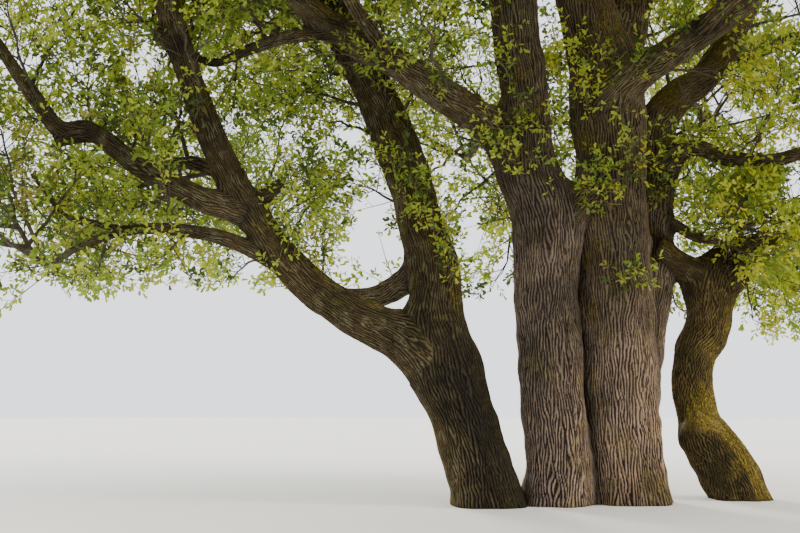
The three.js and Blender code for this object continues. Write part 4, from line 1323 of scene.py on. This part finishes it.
leafFaces = {
    "lobed": [(0, 1, 2), (0, 2, 4), (2, 3, 4), (0, 4, 5), (0, 5, 6)],
    "plain": [(0, 1, 2), (0, 2, 3), (0, 3, 4), (0, 4, 5)],
}
leafColours = {     # base colours of whole sprays, and their shares
    "fresh": ((0.36, 0.41, 0.05), 0.4), "green": ((0.19, 0.262, 0.034), 0.29),
    "shade": ((0.06, 0.095, 0.017), 0.17), "bronze": ((0.255, 0.235, 0.05), 0.14),
    "gold": ((0.4, 0.4, 0.045), 0),
}
leafLook = {
    "shader": {"Roughness": 0.48, "Specular IOR Level": 0.35},
    "through": 0.45, "throughTint": (1.5, 1.5, 0.9),
}
# Which colour a shoot's leaves have: shares of the draw by twig and by shoot, and what is added in some
# masses, in the others, and low on the right. Gold is drawn apart, its share growing from left to right.
tintForm = {
    "byTwig": 0.7, "byShoot": 0.3, "everyFourthMass": 0.16, "others": -0.03,
    "lowRight": -0.14, "rightOf": 0.8, "lowerThan": 4.2, "gold": [0, 0.22], "goldFrom": [-4, 1.5],
}


# Leaves stand round a shoot by the golden angle, most of them near its tip, tossed this way and that.
def leavesOnShoots(shoots, kind, scale, seed):
    n, per = len(shoots), leafForm["perShoot"]
    i = np.tile(np.arange(per), n)
    which = np.repeat(np.arange(n), per)
    root, along = onPath(shoots, which, 1 - leafForm["spread"] * (i / (per - 1)) ** leafForm["crowding"])
    rng = np.random.default_rng(seed)
    least, more = leafForm["leans"]
    luck = rng.uniform(-leafForm["leanLuck"], leafForm["leanLuck"], len(i))
    lean = np.radians(leafForm["lean"] * (least + more * i / (per - 1)) + luck)
    direction = leavePath(along, lean, i * goldenTurn + which * 1.9, leafForm["rise"])
    face = squareTo(direction, up + rng.normal(size=(len(i), 3)) * leafForm["toss"])
    side = np.cross(face, direction)
    length = scale[which] * rng.uniform(*leafForm["luck"], len(i))
    x, y = np.array(leafForm[kind]).T
    lift = np.abs(y) * leafForm["fold"] - leafForm["droop"] * x**2
    return root[:, None] + length[:, None, None] * (
        direction[:, None] * x[:, None] + side[:, None] * y[:, None] + face[:, None] * lift[:, None])


# Leaves let part of the light through, a little yellower than their colour.
def leafMaterial(name, colour):
    material, tree, shader = newMaterial(name, {"Base Color": colour, **leafLook["shader"]})
    through = tuple(min(part * tint, 1) for part, tint in zip(colour, leafLook["throughTint"]))
    through = addNode(tree, "BsdfTranslucent", {"Color": through})[0]
    mixed = addNode(tree, "MixShader", {0: leafLook["through"], 1: shader.outputs[0], 2: through})[0]
    setInputs(tree.nodes["Material Output"], {"Surface": mixed})
    return material


foliageNodes = ["foliage_" + name for name in masses]


# A piece of the foliage. Together they replace the solids' masses.
def addPiece(name, vertices, quads, triangles, material, slot, smooth=True):
    piece = fillMesh(name, vertices, quads, triangles, smooth)
    piece.data.materials.append(material)
    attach(piece, "root")
    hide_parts(*foliageNodes)


x, y, z = shoots[:, 0].T
everyShoot = np.arange(len(shoots))
tint = dice(shootTwig * 0.731 + 5) * tintForm["byTwig"] + dice(everyShoot * 1.93) * tintForm["byShoot"]
isFourth = (shootSpace >= 0) & (shootSpace % 4 == 0)
tint += np.where(isFourth, tintForm["everyFourthMass"], tintForm["others"])
tint += tintForm["lowRight"] * ((x > tintForm["rightOf"]) & (z < tintForm["lowerThan"]))
shares = np.cumsum([share for _, share in leafColours.values()])
colourOf = np.clip(np.searchsorted(shares, np.clip(tint, 0, 0.999)), 0, 3)
colourOf[dice(shootTwig * 2.31 + 7) < np.interp(x, tintForm["goldFrom"], tintForm["gold"])] = 4
height = z + 0.9 * (dice(everyShoot * 0.37) - 0.5)
scale = np.interp(height, leafForm["heights"], leafForm["lengths"])
shown = inPhoto(shoots[:, 1])
scale *= np.where(shown, np.interp(y, leafForm["depths"], [leafForm["inFront"], 1]), leafForm["notShown"])
scale = np.where(shown, scale, np.minimum(scale, leafForm["lengths"][1]))
scale *= np.where(shootTwig >= freeTwigs, leafForm["onBark"], 1)
isHigh = height > sum(leafForm["heights"]) / 2
partOf = np.where(isHigh, 2, np.where(x < np.median(x[~isHigh]), 0, 1))
leafCount = 0
for number, (colourName, (colour, _)) in enumerate(leafColours.items()):
    material = leafMaterial(colourName + "Leaf", colour)
    for part, partName in enumerate(("left", "right", "high")):
        chosen = (colourOf == number) & (partOf == part)
        kind = "plain" if partName == "high" else "lobed"
        points = leavesOnShoots(shoots[chosen], kind, scale[chosen], 6 + 3 * number + part)
        triangles = repeatFaces(np.array(leafFaces[kind])[:, ::-1], *points.shape[:2])
        addPiece(f"leaves_{colourName}_{partName}", points.reshape(-1, 3), None, triangles, material,
                 "bronze_leaf" if colourName == "bronze" else "leaf", smooth=False)
        leafCount += len(triangles)
print("leaf triangles:", leafCount)


# Shoots as thin spikes: a small ring at the root and a point at the tip.
def spikes(paths, radius, sides):
    ring = ringCorners(unit(paths[:, 1] - paths[:, 0]), sides)
    points = np.concatenate([paths[:, :1] + ring * radius, paths[:, 1:]], axis=1)
    faces = np.array([(0, 1, 3), (1, 2, 3), (2, 0, 3), (2, 1, 0)])
    return points.reshape(-1, 3), None, repeatFaces(faces, len(paths), sides + 1)


# Mottled between two colours by noise, which also makes small bumps.
def twigMaterial(name, colour, tipColour):
    material, tree, shader = newMaterial(name, {"Roughness": 0.85})
    place = addNode(tree, "TexCoord", {})["Object"]
    noise = addNode(tree, "TexNoise", {"Vector": place, "Scale": 14, "Detail": 4})[0]
    bump = addNode(tree, "Bump", {"Distance": 0.002, "Height": noise})[0]
    setInputs(shader, {"Base Color": rampNode(noise, [(0.3, colour), (0.7, tipColour)]), "Normal": bump})
    return material


branchBark = twigMaterial("branchBark", (0.025, 0.018, 0.01), (0.085, 0.064, 0.036))
twigBark = twigMaterial("twigBark", (0.035, 0.025, 0.012), (0.1, 0.075, 0.035))
paleTwigBark = twigMaterial("paleTwigBark", (0.13, 0.105, 0.045), (0.22, 0.18, 0.08))
free, onBark = everyTwig < freeTwigs, everyTwig >= freeTwigs
for name, shape, material in (
        ("mass_stems", tubesAround(massStems, stemRadii, massForm["sides"]), branchBark),
        ("branches", tubesAround(branches, branchRadii, branchForm["sides"]), branchBark),
        ("twigs", tubesAround(twigs[free], twigRadii[free], twigForm["sides"]), twigBark),
        ("bark_twigs", tubesAround(twigs[onBark], twigRadii[onBark], twigForm["sides"]), paleTwigBark),
        ("shoots", spikes(shoots, shootForm["radius"], shootForm["sides"]), twigBark)):
    addPiece(name, *shape, material, "bark")
    print(name, "points:", len(shape[0]))

# Floor, light and camera
stageForm = {
    "radius": 90, "sides": 96, "colour": (0.78, 0.78, 0.76), "roughness": 0.9,
    "sky": {"Color": (0.93, 0.95, 1.0), "Strength": 2.0},
}
n = stageForm["sides"]
angle = np.arange(n) * 2 * math.pi / n
rim = np.column_stack([np.cos(angle), np.sin(angle), np.zeros(n)]) * stageForm["radius"]
floor = fillMesh("floor", np.vstack([rim, [[0, 0, 0]]]), None, capFaces(n, 0, n), smooth=False)
floorInputs = {"Base Color": stageForm["colour"], "Roughness": stageForm["roughness"]}
floor.data.materials.append(newMaterial("paleFloor", floorInputs)[0])
world = bpy.data.worlds.new("softSky")
bpy.context.scene.world = world
world.use_nodes = True
setInputs(world.node_tree.nodes["Background"], stageForm["sky"])

lightForm = {   # name: direction the light comes from, strength, width in degrees, colour
    "key": ((0.85, -0.3, 0.42), 2.8, 16, (1.0, 0.82, 0.62)),
    "back": ((-0.35, 0.85, 0.4), 3.0, 16, (1.0, 0.93, 0.78)),
}
for name, (towards, strength, width, colour) in lightForm.items():
    light = bpy.data.lights.new(name, "SUN")
    light.energy, light.angle, light.color = strength, math.radians(width), colour
    tilt = math.atan2(math.hypot(towards[0], towards[1]), towards[2])
    linkObject(name, light).rotation_euler = (tilt, 0, math.atan2(towards[0], -towards[1]))

camera = bpy.data.cameras.new("camera")
camera.lens, camera.sensor_width, camera.clip_end = (cameraForm[key] for key in ("lens", "sensor", "far"))
eye = linkObject("camera", camera)
eye.location = cameraForm["place"]
eye.rotation_euler = (math.radians(90 + cameraForm["pitch"]), 0, 0)
bpy.context.scene.camera = eye

print("done")
